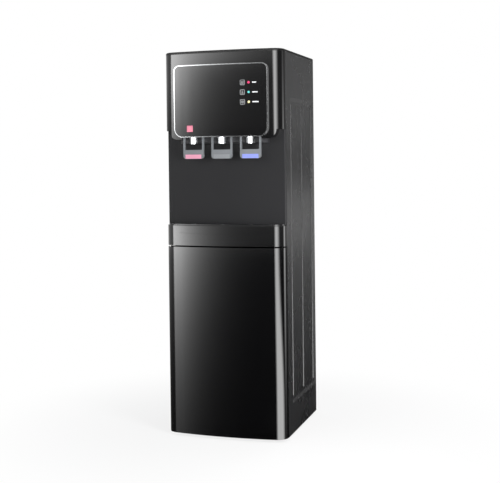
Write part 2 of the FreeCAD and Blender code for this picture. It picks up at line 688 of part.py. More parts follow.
def lock_key():
    """Square push key let into the panel."""
    face = SEAM - FRONT_DEPTH - PANEL_PROUD + front_y(KEY_X) - front_y(0) - 0.4
    half = KEY_SIDE / 2
    cap = box(KEY_X - half, KEY_X + half, face, face + KEY_THICK, KEY_Z - half, KEY_Z + half)
    front = [e for e in cap.Edges if e.BoundBox.YMax < face + 0.1]
    corners = [e for e in cap.Edges if e.BoundBox.YLength > KEY_THICK - 0.1]
    return cap.makeChamfer(0.6, front + corners)


# ---- taps ---------------------------------------------------------------------------------
def tap_xs():
    first = -(len(TAP_NAMES) - 1) / 2 * TAP_PITCH
    return [first + i * TAP_PITCH for i in range(len(TAP_NAMES))]


def tap_block():
    """Dark moulded bar across the front panel that carries the three taps."""
    y1 = PANEL_FACE
    bar = box(-BLOCK_HALF, BLOCK_HALF, y1 - BLOCK_DEEP, y1, BLOCK_Z0, BLOCK_Z1)
    low_front = [e for e in bar.Edges if e.BoundBox.XLength > 10 and e.BoundBox.YMax < y1 - 1
                 and e.BoundBox.ZMax < BLOCK_Z0 + 1]
    bar = bar.makeFillet(4.0, low_front)
    necks = [box(x - BARREL_HALF, x + BARREL_HALF, y1 - BLOCK_DEEP, y1, BARREL_Z - BARREL_HALF,
                 BARREL_Z + BARREL_HALF) for x in tap_xs()]
    return bar.cut(necks)


def tap_body(x):
    """Valve body: square neck back to the tap block, stem bore on top and two ears for the paddle."""
    body = bar_z(BODY_R, x, TAP_Y, NOZZLE_Z1, BODY_TOP, 16)
    spigot = rod_z(SPIGOT_R, x, TAP_Y, SPIGOT_Z, NOZZLE_Z1)
    neck = box(x - BARREL_HALF, x + BARREL_HALF, TAP_Y, PANEL_FACE, BARREL_Z - BARREL_HALF, BARREL_Z + BARREL_HALF)
    ear_half = PADDLE_WIDE / 2 - PADDLE_RAIL - 0.5
    y0, y1, z0, z1 = PIVOT_Y - EAR_R, PIVOT_Y + EAR_R, PIVOT_Z - EAR_R, PIVOT_Z + EAR_R
    cut = EAR_R / 2
    ear = polygon([V(x - ear_half, y0 + cut, z0), V(x - ear_half, y1, z0), V(x - ear_half, y1, z1),
                   V(x - ear_half, y0 + cut, z1), V(x - ear_half, y0, z1 - cut), V(x - ear_half, y0, z0 + cut)])
    arm = box(x - ARM_HALF, x + ARM_HALF, PIVOT_Y, TAP_Y, z0, z1)
    solid = fuse([body, spigot, neck, ear.extrude(V(2 * ear_half, 0, 0)), arm])
    bore = rod_z(STEM_R + RUN, x, TAP_Y, STEM_Z0 - 1.0, BODY_TOP + 1.0)
    outlet = bar_z(NOZZLE_BORE - 1.5, x, TAP_Y, SPIGOT_Z - 1.0, STEM_Z0 - 3.0, 12)
    inner = ear_half - TRUNNION_LONG
    pivots = [rod_x(TRUNNION_R + RUN, x0, x0 + TRUNNION_LONG + 1.0, PIVOT_Y, PIVOT_Z)
              for x0 in (x - ear_half - 1.0, x + inner)]
    return solid.cut([bore, outlet] + pivots)


def tap_nozzles():
    """Plated nozzle sleeves: round, with an upright groove down the front."""
    sleeves = []
    for x in tap_xs():
        sleeve = rod_z(NOZZLE_R, x, TAP_Y, NOZZLE_Z0, NOZZLE_Z1)
        seat = rod_z(SPIGOT_R, x, TAP_Y, SPIGOT_Z, NOZZLE_Z1)
        bore = rod_z(NOZZLE_BORE, x, TAP_Y, NOZZLE_Z0, NOZZLE_Z1)
        groove = box(x - NOZZLE_GROOVE / 2, x + NOZZLE_GROOVE / 2, TAP_Y - NOZZLE_R - 1.0,
                     TAP_Y - NOZZLE_R + 2.6, NOZZLE_Z0, NOZZLE_Z1)
        sleeves.append(sleeve.cut([seat, bore, groove]))
    return Part.makeCompound(sleeves)


def valve_stem(x):
    rod = rod_z(STEM_R, x, TAP_Y, STEM_Z0, PIVOT_Z + FORK_RISE + FORK_R + SEAT + STEM_COLLAR)
    collar_z = PIVOT_Z + FORK_RISE + FORK_R + SEAT
    return rod.fuse(bar_z(STEM_COLLAR_R, x, TAP_Y, collar_z, collar_z + STEM_COLLAR, 12)).removeSplitter()


def paddle(x):
    """Smoke-clear lever: two rails and a band make a U, with trunnions and a fork at the top."""
    half = PADDLE_WIDE / 2
    inner = half - PADDLE_RAIL
    y0 = PIVOT_Y + PADDLE_SET
    y1 = y0 + PADDLE_DEEP
    square = 0.01
    outer = rounded_xz(half, PADDLE_Z0, PIVOT_Z, PADDLE_CORNER, square, y0, y1)
    window = rounded_xz(inner, PADDLE_BAND_TOP, PIVOT_Z + PADDLE_CORNER, PADDLE_BAND, square, y0, y1)
    behind = rounded_xz(inner, PADDLE_Z0 + PADDLE_BAND, PADDLE_BAND_TOP + 1.0, PADDLE_CORNER - PADDLE_BAND,
                        square, y0 + PADDLE_BAND, y1)
    fork_z = PIVOT_Z + FORK_RISE
    fork_back = TAP_Y + FORK_R
    front = PIVOT_Y - CHEEK_LEAD
    cheek = polygon([
        V(inner, front, PIVOT_Z - CHEEK_LEAD), V(inner, y1, PIVOT_Z - 2 * CHEEK_LEAD),
        V(inner, fork_back, fork_z - FORK_R), V(inner, fork_back, fork_z + FORK_R),
        V(inner, TAP_Y - FORK_R, fork_z + FORK_R), V(inner, front, PIVOT_Z + CHEEK_LEAD),
    ]).extrude(V(PADDLE_RAIL, 0, 0))
    trunnion = rod_x(TRUNNION_R, inner - TRUNNION_LONG, inner, PIVOT_Y, PIVOT_Z)
    fork = box(STEM_R + 2 * SEAT, inner, TAP_Y - FORK_R, fork_back, fork_z - FORK_R, fork_z + FORK_R)
    side = [cheek, trunnion, fork]
    lever = fuse([outer.cut([window, behind])] + side + [mirror_x(piece) for piece in side])
    lever = lever.cut(bar_block())
    lever.translate(V(x, 0, 0))
    return lever


def bar_block():
    """Coloured bar let into the front of the paddle's band."""
    y0 = PIVOT_Y + PADDLE_SET - BAR_PROUD
    z0 = PADDLE_Z0 + BAR_MARGIN
    return box(-BAR_WIDE / 2, BAR_WIDE / 2, y0, y0 + BAR_THICK, z0, z0 + BAR_HIGH)


def paddle_bar(x):
    bar = bar_block()
    bar.translate(V(x, 0, 0))
    return bar


def tap_pipes():
    """Silicone pipes from the tank walls through the front panel to the tap bodies."""
    foam = TANK_Y - FOAM_SIDE / 2
    beside = abs(HOT_X - tap_xs()[0]) - PIPE_R
    ends = {"hot": TANK_Y - math.sqrt(HOT_R ** 2 - beside ** 2), "warm": foam, "cold": foam}
    pipes = []
    for name, x in zip(TAP_NAMES, tap_xs()):
        pipes.append(bar_y(PIPE_R, x, PANEL_FACE, ends[name], BARREL_Z, TUBE_SIDES))
    return Part.makeCompound(pipes)


# ---- drip tray ----------------------------------------------------------------------------
def drip_housing():
    """Gloss fascia under the cups: closed box with a stepped rim and a long pointed groove."""
    back = SEAM
    outer = front_prism(0.0, back, HOUSING_BOTTOM, HOUSING_TOP)
    well = front_prism(HOUSING_WALL, back - HOUSING_WALL, HOUSING_BOTTOM + MOULD_WALL, HOUSING_TOP)
    step = front_prism(HOUSING_RIM, PANEL_FACE - SEAT, HOUSING_TOP - TRAY_STEP, HOUSING_TOP)
    top_edges = [e for e in outer.Edges if e.BoundBox.ZMin > HOUSING_TOP - 0.1 and e.BoundBox.YMin < SEAM - 5.0]
    outer = outer.makeChamfer(1.2, top_edges)
    y0, y1 = SEAM - FRONT_DEPTH - 5.0, SEAM - FRONT_DEPTH + GROOVE_DEEP
    lens = face_from([
        arc(V(-GROOVE_HALF, y0, GROOVE_Z), V(0, y0, GROOVE_Z + GROOVE_RISE), V(GROOVE_HALF, y0, GROOVE_Z)),
        arc(V(GROOVE_HALF, y0, GROOVE_Z), V(0, y0, GROOVE_Z - GROOVE_RISE), V(-GROOVE_HALF, y0, GROOVE_Z)),
    ]).extrude(V(0, 25.0, 0))
    lens = lens.cut(front_prism(GROOVE_DEEP, SEAM, GROOVE_Z - 10.0, GROOVE_Z + 10.0))
    return outer.cut([well, step, lens])


def tray_back():
    """Rear edge of the tray's rim, just clear of the front panel."""
    return PANEL_FACE - 2 * SEAT


def drip_tray():
    """Lift-out basin hung by its rim on the step of the housing."""
    back = tray_back()
    z1 = HOUSING_TOP - TRAY_BELOW
    rim = front_prism(HOUSING_RIM + EASY, back, HOUSING_TOP - TRAY_STEP + 0.02, z1)
    gap = HOUSING_WALL + TRAY_CLEAR
    basin = front_prism(gap, back - gap, z1 - TRAY_DEPTH, z1)
    well = front_prism(gap + TRAY_WALL, back - gap - TRAY_WALL, z1 - TRAY_DEPTH + TRAY_WALL, z1 + 1.0)
    return rim.fuse(basin).cut(well).removeSplitter()


def drip_grille():
    """Slotted cover of the tray with a raised pip under each nozzle."""
    back = tray_back() - SEAT
    z0, z1 = HOUSING_TOP + GRILLE_LIFT, HOUSING_TOP + GRILLE_LIFT + GRILLE_THICK
    plate = front_prism(HOUSING_RIM + 4 * SEAT, back, z0, z1)
    edge = HOUSING_WALL + TRAY_CLEAR + TRAY_WALL + SLOT_EDGE
    count = int((WIDTH - 2 * CORNER_R) / SLOT_PITCH)
    first = -(count - 1) / 2 * SLOT_PITCH
    slots = []
    for i in range(count):
        x = first + i * SLOT_PITCH
        slots.append(box(x - SLOT_WIDE / 2, x + SLOT_WIDE / 2, front_y(x) + edge, back - edge, z0 - 1.0, z1 + 1.0))
    pips = [bar_z(3.6, x, front_y(x) + 7.0, z1, z1 + 1.2, 12) for x in tap_xs()]
    return plate.cut(slots).fuse(pips)


# ---- door ---------------------------------------------------------------------------------
def door_shell():
    z0 = FOOT_HEIGHT + DOOR_GAP_BELOW
    back = SEAM - DOOR_GAP
    outer = front_prism(0.0, back, z0, DOOR_TOP)
    well = front_prism(MOULD_WALL, back + 1.0, z0 + MOULD_WALL, DOOR_TOP - MOULD_WALL)
    shell = outer.cut(well)
    long = HINGE_PIN_LONG + 3.0
    bosses = [rod_z(HINGE_BOSS_R, HINGE_X, HINGE_Y, z, z + long) for z in (z0, DOOR_TOP - long)]
    web = [box(-WIDTH / 2 + MOULD_WALL / 2, HINGE_X, HINGE_Y - 1.0, HINGE_Y + 1.0, z, z + long)
           for z in (z0, DOOR_TOP - long)]
    pin = HINGE_PIN_R + RUN
    bores = [rod_z(pin, HINGE_X, HINGE_Y, z0 - 1.0, z0 + HINGE_PIN_LONG + 1.0),
             rod_z(pin, HINGE_X, HINGE_Y, DOOR_TOP - HINGE_PIN_LONG - 1.0, DOOR_TOP + 1.0)]
    shell = shell.fuse(bosses + web)
    return shell.common(outer).cut(bores)


def door_inner():
    """Inner skin of the door with a raised field and the pad that meets the magnet."""
    z0 = FOOT_HEIGHT + DOOR_GAP_BELOW + MOULD_WALL + SEAT
    z1 = DOOR_TOP - MOULD_WALL - SEAT
    back = SEAM - DOOR_GAP
    gap = MOULD_WALL + SEAT
    left = HINGE_X + HINGE_BOSS_R + 1.0
    sheet = box(left, WIDTH / 2 - gap, back - INNER_SHEET, back, z0, z1)
    field = box(left + 26.0, WIDTH / 2 - 40.0, back - INNER_SHEET - 6.0, back - INNER_SHEET, z0 + 26.0, z1 - 26.0)
    upright = [e for e in field.Edges if e.BoundBox.YLength > 5.0]
    field = field.makeFillet(14.0, upright)
    dish = box(left + 28.0, WIDTH / 2 - 42.0, back - INNER_SHEET - 4.0, back + 1.0, z0 + 28.0, z1 - 28.0)
    upright = [e for e in dish.Edges if e.BoundBox.YLength > 5.0]
    dish = dish.makeFillet(12.0, upright)
    return sheet.fuse(field).cut(dish).removeSplitter()


def door_hinges():
    """Lower and upper hinge plates, each with its pin."""
    x0, x1 = -WIDTH / 2 + 1.5, -WIDTH / 2 + 26.0
    y0 = HINGE_Y - 6.0
    low = box(x0, x1, y0, SEAM + 34.0, FOOT_HEIGHT - HINGE_PLATE, FOOT_HEIGHT)
    z0 = FOOT_HEIGHT
    low = low.fuse(rod_z(HINGE_PIN_R, HINGE_X, HINGE_Y, z0, z0 + DOOR_GAP_BELOW + HINGE_PIN_LONG))
    up = box(x0, x1, y0, SEAM - 1.0, HOUSING_BOTTOM - HINGE_PLATE, HOUSING_BOTTOM)
    z1 = HOUSING_BOTTOM - HINGE_PLATE
    up = up.fuse(rod_z(HINGE_PIN_R, HINGE_X, HINGE_Y, DOOR_TOP - HINGE_PIN_LONG, z1))
    outline = front_prism(1.5, REAR, 0, HEIGHT)
    return Part.makeCompound([low.common(outline), up.common(outline)])


def magnet_catch():
    x1 = WIDTH / 2 - FRONT_FLANGE
    case = box(x1 - 12.0, x1, SEAM - DOOR_GAP + SEAT, SEAM + 12.0, MAGNET_Z, MAGNET_Z + MAGNET_HIGH)
    return case.makeFillet(1.5, [e for e in case.Edges if e.BoundBox.ZLength > 10.0])


# ---- bottle bay fittings ------------------------------------------------------------------
def suction_probe():
    tube = rod_z(PROBE_R, PROBE_X, PROBE_Y, PROBE_Z0 + 8.0, PROBE_TOP + PROBE_STUB)
    foot = rod_z(STRAINER_R, PROBE_X, PROBE_Y, PROBE_Z0, PROBE_Z0 + 30.0)
    slots = [box(PROBE_X - 1.0, PROBE_X + 1.0, PROBE_Y - 10.0, PROBE_Y + 10.0, PROBE_Z0 + 3.0, PROBE_Z0 + 20.0)]
    return tube.fuse(foot).cut(slots).removeSplitter()


def probe_bung():
    """Tapered stopper that seats in the bottle's neck."""
    cone = turned([(BUNG_R - 3.0, PROBE_TOP), (BUNG_R, PROBE_TOP + 16.0)], PROBE_X, PROBE_Y)
    return cone.cut(rod_z(PROBE_R, PROBE_X, PROBE_Y, PROBE_TOP - 1.0, PROBE_TOP + 30.0))


def probe_clips():
    """Two spring clips on the side wall that park the probe."""
    wall = -INNER_HALF
    clips = []
    for z in (118.0, PROBE_TOP - 58.0):
        foot = box(wall, wall + 2.5, PROBE_Y - 9.0, PROBE_Y + 9.0, z, z + 14.0)
        stand = box(wall, PROBE_X, PROBE_Y - 3.0, PROBE_Y + 3.0, z, z + 14.0)
        ring = rod_z(PROBE_R + 2.2, PROBE_X, PROBE_Y, z, z + 14.0)
        mouth = box(PROBE_X + 2.5, PROBE_X + 12.0, PROBE_Y - 12.0, PROBE_Y + 12.0, z, z + 14.0)
        clip = fuse([foot, stand, ring]).cut([rod_z(PROBE_R, PROBE_X, PROBE_Y, z, z + 14.0), mouth])
        clips.append(clip)
    return Part.makeCompound(clips)


def suction_hose():
    """Hose from the probe up through the deck to the pump's inlet."""
    z0 = PROBE_TOP + PROBE_STUB
    inlet = V(PUMP_X - PUMP_HALF, PUMP_Y, DECK_Z + DECK_SHEET + PUMP_PORT)
    reach = (inlet.x - PROBE_X) / (1 + math.cos(math.radians(30)) + math.cos(math.radians(60)))
    long, short = reach * math.cos(math.radians(30)), reach * math.cos(math.radians(60))
    points = [V(PROBE_X, PROBE_Y, z0), V(PROBE_X, PROBE_Y, inlet.z - long - short),
              V(PROBE_X + short, PROBE_Y, inlet.z - short), V(PROBE_X + short + long, PROBE_Y, inlet.z), inlet]
    return tube_along(points, HOSE_R, "suction_hose")


def water_pump():
    """Diaphragm pump lying on the deck: foot, valve head, motor can and the outlet barb."""
    z = DECK_Z + DECK_SHEET
    foot_z = z + PUMP_FOOT
    motor_r = PUMP_HALF - 1.0
    foot = box(PUMP_X - PUMP_HALF - 2.0, PUMP_X + PUMP_HALF + 2.0, PUMP_Y - 40.0, PUMP_Y + 58.0, z, foot_z)
    head = box(PUMP_X - PUMP_HALF, PUMP_X + PUMP_HALF, PUMP_Y - PUMP_FACE, PUMP_Y + 14.0, foot_z, z + PUMP_HIGH)
    head = head.makeFillet(6.0, [e for e in head.Edges if e.BoundBox.ZLength > PUMP_HIGH / 2])
    motor = rod_y(motor_r, PUMP_X, PUMP_Y + 14.0, PUMP_Y + 72.0, foot_z + 24.0)
    saddle = box(PUMP_X - 12.0, PUMP_X + 12.0, PUMP_Y + 20.0, PUMP_Y + 52.0, foot_z, foot_z + 16.0)
    barb = rod_y(HOSE_R - 1.0, PUMP_X, PUMP_Y - PUMP_FACE - PUMP_BARB, PUMP_Y - PUMP_FACE, z + PUMP_PORT)
    return fuse([foot, head, motor, saddle, barb])


def pump_hose():
    """Hose from the pump forward, up between the front panel and the shelf, and into the cold tank."""
    start = V(PUMP_X, PUMP_Y - PUMP_FACE - PUMP_BARB, DECK_Z + DECK_SHEET + PUMP_PORT)
    inlet = V(COLD_X - 62.0, TANK_Y - FOAM_SIDE / 2, SHELF_Z + 52.0)
    y = SEAM + RISER_BACK
    rise = start.z + 25.0
    last = inlet.z - 26.0
    points = [start, V(PUMP_X, y + 25.0, start.z), V(PUMP_X, y, rise), V(PUMP_X + 3.0, y - 1.0, (rise + last) / 2),
              V(PUMP_X + 1.0, y, last), V(PUMP_X + 27.0, y, inlet.z), V(inlet.x - 21.9, y, inlet.z),
              V(inlet.x - 8.0, y + 8.0, inlet.z), V(inlet.x, y + 21.9, inlet.z), inlet]
    return tube_along(points, HOSE_R, "pump_hose")


# ---- cooling and heating ------------------------------------------------------------------
def cold_tank():
    """Stainless chilled tank inside the foam, its ends drawn in to the wall."""
    z0, z1, draw = SHELF_Z + DECK_SHEET + FOAM_WALL, FOAM_Z1 - FOAM_WALL, 8.0
    return turned([(COLD_R - draw, z0), (COLD_R, z0 + draw), (COLD_R, z1 - draw), (COLD_R - draw, z1)],
                  COLD_X, TANK_Y)


def cold_tank_foam():
    half = FOAM_SIDE / 2
    z0 = SHELF_Z + DECK_SHEET
    block = box(COLD_X - half, COLD_X + half, TANK_Y - half, TANK_Y + half, z0, FOAM_Z1)
    block = block.makeChamfer(12.0, [e for e in block.Edges if e.BoundBox.ZLength > 100.0])
    return block.cut(cold_tank())


def hot_tank():
    """Stainless heating tank on three legs, with coned ends and its heater flange on top."""
    z0, z1 = SHELF_Z + DECK_SHEET, HOT_TOP
    leg = 22.0
    flange = 24.0
    tank = turned([(HOT_R - 8.0, z0 + leg), (HOT_R, z0 + leg + 10.0), (HOT_R, z1 - 26.0), (flange, z1 - 10.0),
                   (flange, z1)], HOT_X, TANK_Y)
    turns = [math.radians(90 + 120 * i) for i in range(3)]
    legs = [bar_z(4.0, HOT_X + 34.0 * math.cos(a), TANK_Y + 34.0 * math.sin(a), z0, z0 + leg, 4) for a in turns]
    return fuse([tank] + legs)


def compressor():
    """Hermetic pot: two drawn shells joined at a seam, on a foot plate, with its terminal box."""
    r = COMP_R
    seam_z = 78.0
    low = turned([(r * 0.72, 0), (r * 0.93, 10.0), (r, 30.0), (r, seam_z + 1.0)], 0, 0)
    seam = turned([(r + 2.5, seam_z), (r + 2.5, seam_z + 6.0)], 0, 0)
    lid = turned([(r - 1.0, seam_z + 1.0), (r - 1.0, 106.0), (r * 0.86, 126.0), (r * 0.45, 142.0), (r * 0.2, 144.0)],
                 0, 0)
    plate = box(-COMP_BOLT_X - 10.0, COMP_BOLT_X + 10.0, -COMP_BOLT_Y - 10.0, COMP_BOLT_Y + 10.0, -1.0, 2.0)
    holes = [bar_z(COMP_NECK_R + SEAT, x, y, -2.0, 3.0, 8) for x, y in compressor_bolts()]
    terminal = box(-22.0, 22.0, -r - 18.0, -r + 8.0, 40.0, 76.0)
    unit = fuse([low, seam, lid, plate.cut(holes), terminal])
    unit.translate(V(COMP_X, COMP_Y, COMP_BASE))
    return unit


def compressor_bolts():
    return [(x, y) for x in (-COMP_BOLT_X, COMP_BOLT_X) for y in (-COMP_BOLT_Y, COMP_BOLT_Y)]


def compressor_mounts():
    """Rubber grommets with their studs under the compressor's foot plate."""
    z0 = DECK_Z + DECK_SHEET
    mounts = []
    for dx, dy in compressor_bolts():
        x, y = COMP_X + dx, COMP_Y + dy
        bush = bar_z(9.0, x, y, z0, COMP_BASE - 1.0, 12)
        mounts.append(bush.fuse(bar_z(COMP_NECK_R, x, y, COMP_BASE - 1.0, COMP_BASE + 7.0, 8)))
    return Part.makeCompound(mounts)


def condenser_ends():
    """Where the two tube ends pass through the recessed back."""
    last_side = 1 if (COND_RUNS - 1) % 2 == 0 else -1
    return [(-COND_HALF, COND_Z0), (last_side * COND_HALF, COND_Z0 + (COND_RUNS - 1) * COND_PITCH)]


def condenser_tube():
    """One serpentine tube: level runs joined by half-turn bends, its ends turned in through the back."""
    bend = COND_PITCH / 2
    turn = 12.0
    (x0, z0), (x1, z1) = condenser_ends()
    side = 1 if x1 > 0 else -1
    corner = V(x0, COND_Y, z0)
    points = [V(x0, NICHE_Y - turn, z0)] + bend_points(corner - Y_AXIS * turn, corner, corner + X_AXIS * turn)[0]
    for i in range(COND_RUNS - 1):
        out = 1 if i % 2 == 0 else -1
        z = COND_Z0 + i * COND_PITCH
        near, far = V(out * (COND_HALF - bend), COND_Y, z), V(out * COND_HALF, COND_Y, z)
        up = Z_AXIS * bend
        points += bend_points(near, far, far + up)[0][:-1] + bend_points(far + up, far + up * 2, near + up * 2)[0]
    corner = V(x1, COND_Y, z1)
    points += bend_points(corner - X_AXIS * side * turn, corner, corner - Y_AXIS * turn)[0]
    points.append(V(x1, NICHE_Y - turn, z1))
    return swept(points, COND_R, "condenser_tube")


def wire_xs():
    count = int(2 * (COND_HALF - COND_PITCH / 2) / WIRE_PITCH) + 1
    first = -(count - 1) / 2 * WIRE_PITCH
    return [first + i * WIRE_PITCH for i in range(count)]


def condenser_wires():
    """Upright wires spot-welded to both sides of the tube."""
    z0 = COND_Z0 - 10.0
    z1 = COND_Z0 + (COND_RUNS - 1) * COND_PITCH + 10.0
    offset = COND_R + WIRE_R
    return Part.makeCompound([bar_z(WIRE_R, x, COND_Y + s * offset, z0, z1, 6) for x in wire_xs() for s in (-1, 1)])


def condenser_clips():
    """Four plastic stand-offs that hold the outer runs to the recessed back, between two wires."""
    clips = []
    y0 = NICHE_Y + REAR_SHEET
    half = CLIP_SIDE / 2
    middle = wire_xs()[0] + 1.5 * WIRE_PITCH
    for z in (COND_Z0, COND_Z0 + (COND_RUNS - 1) * COND_PITCH):
        for x in (middle, -middle):
            post = box(x - half / 2, x + half / 2, y0, COND_Y + COND_R + 3.0, z - half, z + half)
            clips.append(post.cut(box(x - half, x + half, COND_Y - COND_R, COND_Y + COND_R, z - COND_R, z + COND_R)))
    return Part.makeCompound(clips)


def filter_drier():
    """Copper drier held upright against the inside of the rear panel, its ends spun down to the tube."""
    r, neck, cone, stub = 9.5, 3.0, 12.0, 8.0
    z0, z1 = DRIER_Z0, DRIER_Z0 + DRIER_LONG
    return turned([(neck, z0 - cone - stub), (neck, z0 - cone), (r, z0), (r, z1), (neck, z1 + cone),
                   (neck, z1 + cone + stub)], -NICHE_HALF + 20.0, NICHE_Y - r - 0.1, 16)


# ---- rear fittings ------------------------------------------------------------------------
def switch_frames():
    """Snap-in frames of the two rocker switches, with their pivot pins."""
    y1 = NICHE_Y + REAR_SHEET
    frames = []
    w, h, wall = SWITCH_W / 2, SWITCH_H / 2, SWITCH_BEZEL
    for x in SWITCH_XS.values():
        bezel = box(x - w - wall, x + w + wall, y1, y1 + wall, FITTINGS_Z - h - wall, FITTINGS_Z + h + wall)
        case = box(x - w, x + w, y1 - SWITCH_DEEP, y1, FITTINGS_Z - h, FITTINGS_Z + h)
        well = box(x - w + wall, x + w - wall, y1 - SWITCH_DEEP + 5.0, y1 + 5.0, FITTINGS_Z - h + wall,
                   FITTINGS_Z + h - wall)
        pin = rod_x(ROCKER_PIN_R, x - w + 1.0, x + w - 1.0, y1 - ROCKER_DEEP, FITTINGS_Z)
        frames.append(bezel.fuse(case).cut(well).fuse(pin).removeSplitter())
    return Part.makeCompound(frames)


def rocker(name):
    """Rocker cap: two faces that meet over the pivot at a shallow angle, resting with its top end out."""
    x = SWITCH_XS[name]
    w = SWITCH_W / 2 - SWITCH_BEZEL - EASY
    h = SWITCH_H / 2 - SWITCH_BEZEL - 1.2
    y = NICHE_Y + REAR_SHEET - ROCKER_DEEP
    side = [(-2.6, -6.0), (-2.6, 6.0), (1.6, h), (8.6, h), (5.4, 0.0), (8.6, -h), (1.6, -h)]
    face = polygon([V(x - w, y + dy, FITTINGS_Z + dz) for dy, dz in side])
    cap = face.extrude(V(2 * w, 0, 0))
    cap.rotate(V(x, y, FITTINGS_Z), X_AXIS, -ROCKER_TILT)
    return cap.cut(rod_x(ROCKER_PIN_R + RUN, x - w - 1.0, x + w + 1.0, y, FITTINGS_Z))


def drain_spigots():
    """Drain stubs of the two tanks, each with its six-sided nut behind the recessed back."""
    stubs = []
    for x in DRAIN_XS.values():
        nut = bar_y(DRAIN_R + 6.0, x, NICHE_Y - 4.0, NICHE_Y, FITTINGS_Z, 6)
        stub = rod_y(DRAIN_R, x, NICHE_Y - 16.0, NICHE_Y + DRAIN_LONG, FITTINGS_Z)
        bore = bar_y(DRAIN_R - 2.0, x, NICHE_Y - 17.0, NICHE_Y + DRAIN_LONG + 1.0, FITTINGS_Z, 12)
        stubs.append(nut.fuse(stub).cut(bore).removeSplitter())
    return Part.makeCompound(stubs)


def drain_cap(name):
    """Screw cap over the drain stub, notched round its grip."""
    x = DRAIN_XS[name]
    y1 = NICHE_Y + DRAIN_LONG + EASY + 2.5
    cap = rod_y(CAP_R, x, y1 - CAP_LONG, y1, FITTINGS_Z)
    inside = rod_y(DRAIN_R + RUN, x, y1 - CAP_LONG - 1.0, y1 - 2.5, FITTINGS_Z)
    notches = []
    for i in range(CAP_FLUTES):
        notch = box(-1.2, 1.2, y1 - CAP_LONG + 2.0, y1 + 1.0, CAP_R - 0.9, CAP_R + 2.0)
        notch.translate(V(x, 0, FITTINGS_Z))
        notch.rotate(V(x, 0, FITTINGS_Z), Y_AXIS, 360 * i / CAP_FLUTES)
        notches.append(notch)
    return cap.cut([inside] + notches)


def cord_gland():
    """Bush in the recessed back where a supply cord would pass."""
    y1 = NICHE_Y + REAR_SHEET
    flange = bar_y(GLAND_R + 3.0, GLAND_X, y1, y1 + 3.0, FITTINGS_Z, POT_SIDES)
    sleeve = bar_y(GLAND_R, GLAND_X, NICHE_Y - 6.0, y1, FITTINGS_Z, POT_SIDES)
    bore = bar_y(GLAND_R - 2.6, GLAND_X, NICHE_Y - 7.0, y1 + 4.0, FITTINGS_Z, 16)
    return flange.fuse(sleeve).cut(bore).removeSplitter()


# ---- all nodes ----------------------------------------------------------------------------
def nodes():
    right = side_panel()
    parts = {
        "base_pan": base_pan(), "feet": feet(), "side_panel_right": right, "side_panel_left": mirror_x(right),
        "rear_panel_lower": rear_panel_lower(), "rear_panel_upper": rear_panel_upper(),
        "front_panel": front_panel(), "head_cover": head_cover(), "top_cover": top_cover(),
        "drip_housing": drip_housing(), "bottle_floor": bottle_floor(), "mid_deck": mid_deck(),
        "tank_shelf": tank_shelf(), "tap_block": tap_block(), "control_panel": control_panel(),
        "control_trim": control_trim(), "indicator_lenses": indicator_lenses(), "lock_key": lock_key(),
        "cold_tank": cold_tank(), "cold_tank_foam": cold_tank_foam(), "hot_tank": hot_tank(),
        "compressor": compressor(), "compressor_mounts": compressor_mounts(),
        "condenser_tube": condenser_tube(), "condenser_wires": condenser_wires(),
        "condenser_clips": condenser_clips(), "filter_drier": filter_drier(), "water_pump": water_pump(),
        "suction_hose": suction_hose(), "pump_hose": pump_hose(), "tap_pipes": tap_pipes(),
        "suction_probe": suction_probe(), "probe_bung": probe_bung(), "probe_clips": probe_clips(),
        "cord_gland": cord_gland(), "switch_frames": switch_frames(), "drain_spigots": drain_spigots(),
        "door_hinges": door_hinges(), "magnet_catch": magnet_catch(), "tap_nozzles": tap_nozzles(),
        "door_shell": door_shell(), "door_inner": door_inner(), "drip_tray": drip_tray(),
        "drip_grille": drip_grille(),
    }
    for name in SWITCH_XS:
        parts[name + "_switch"] = rocker(name)
    for name in DRAIN_XS:
        parts[name + "_drain_cap"] = drain_cap(name)
    for name, x in zip(TAP_NAMES, tap_xs()):
        parts[name + "_tap_body"] = tap_body(x)
        parts[name + "_paddle"] = paddle(x)
        parts[name + "_paddle_bar"] = paddle_bar(x)
        parts[name + "_valve_stem"] = valve_stem(x)
    return parts


os.makedirs("parts", exist_ok=True)
for node, shape in nodes().items():
    if not shape.isValid() or shape.Volume <= 0:
        print("check the shape of", node)
    shape.exportStep("parts/" + node + ".step")
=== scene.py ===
"""Looks of the bottom load water cooler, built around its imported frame.

Metres, in the frame of the CAD part: +Z up, the front faces -Y. Every finish is procedural.
"""

import json
import math
from functools import partial

import bmesh
import bpy
from mathutils import Matrix, Vector

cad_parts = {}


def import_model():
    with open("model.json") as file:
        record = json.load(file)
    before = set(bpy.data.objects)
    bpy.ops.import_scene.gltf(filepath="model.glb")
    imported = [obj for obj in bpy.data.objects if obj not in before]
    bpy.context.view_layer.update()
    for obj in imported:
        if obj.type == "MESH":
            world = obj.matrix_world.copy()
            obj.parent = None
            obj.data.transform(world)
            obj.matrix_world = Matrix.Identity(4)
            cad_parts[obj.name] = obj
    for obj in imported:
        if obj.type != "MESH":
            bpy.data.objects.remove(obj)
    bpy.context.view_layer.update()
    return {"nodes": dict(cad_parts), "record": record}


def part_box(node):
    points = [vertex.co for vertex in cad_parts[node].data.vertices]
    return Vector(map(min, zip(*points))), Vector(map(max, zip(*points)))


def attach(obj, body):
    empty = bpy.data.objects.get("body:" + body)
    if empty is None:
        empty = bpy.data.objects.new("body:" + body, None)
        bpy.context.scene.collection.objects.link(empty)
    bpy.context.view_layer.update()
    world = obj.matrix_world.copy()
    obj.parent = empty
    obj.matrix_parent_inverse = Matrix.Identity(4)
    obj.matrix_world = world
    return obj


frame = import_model()

MM = 0.001
NODES = frame["nodes"]
SLOT_OF = {row["node"]: row["material_slot"] for row in frame["record"]["subparts"]}

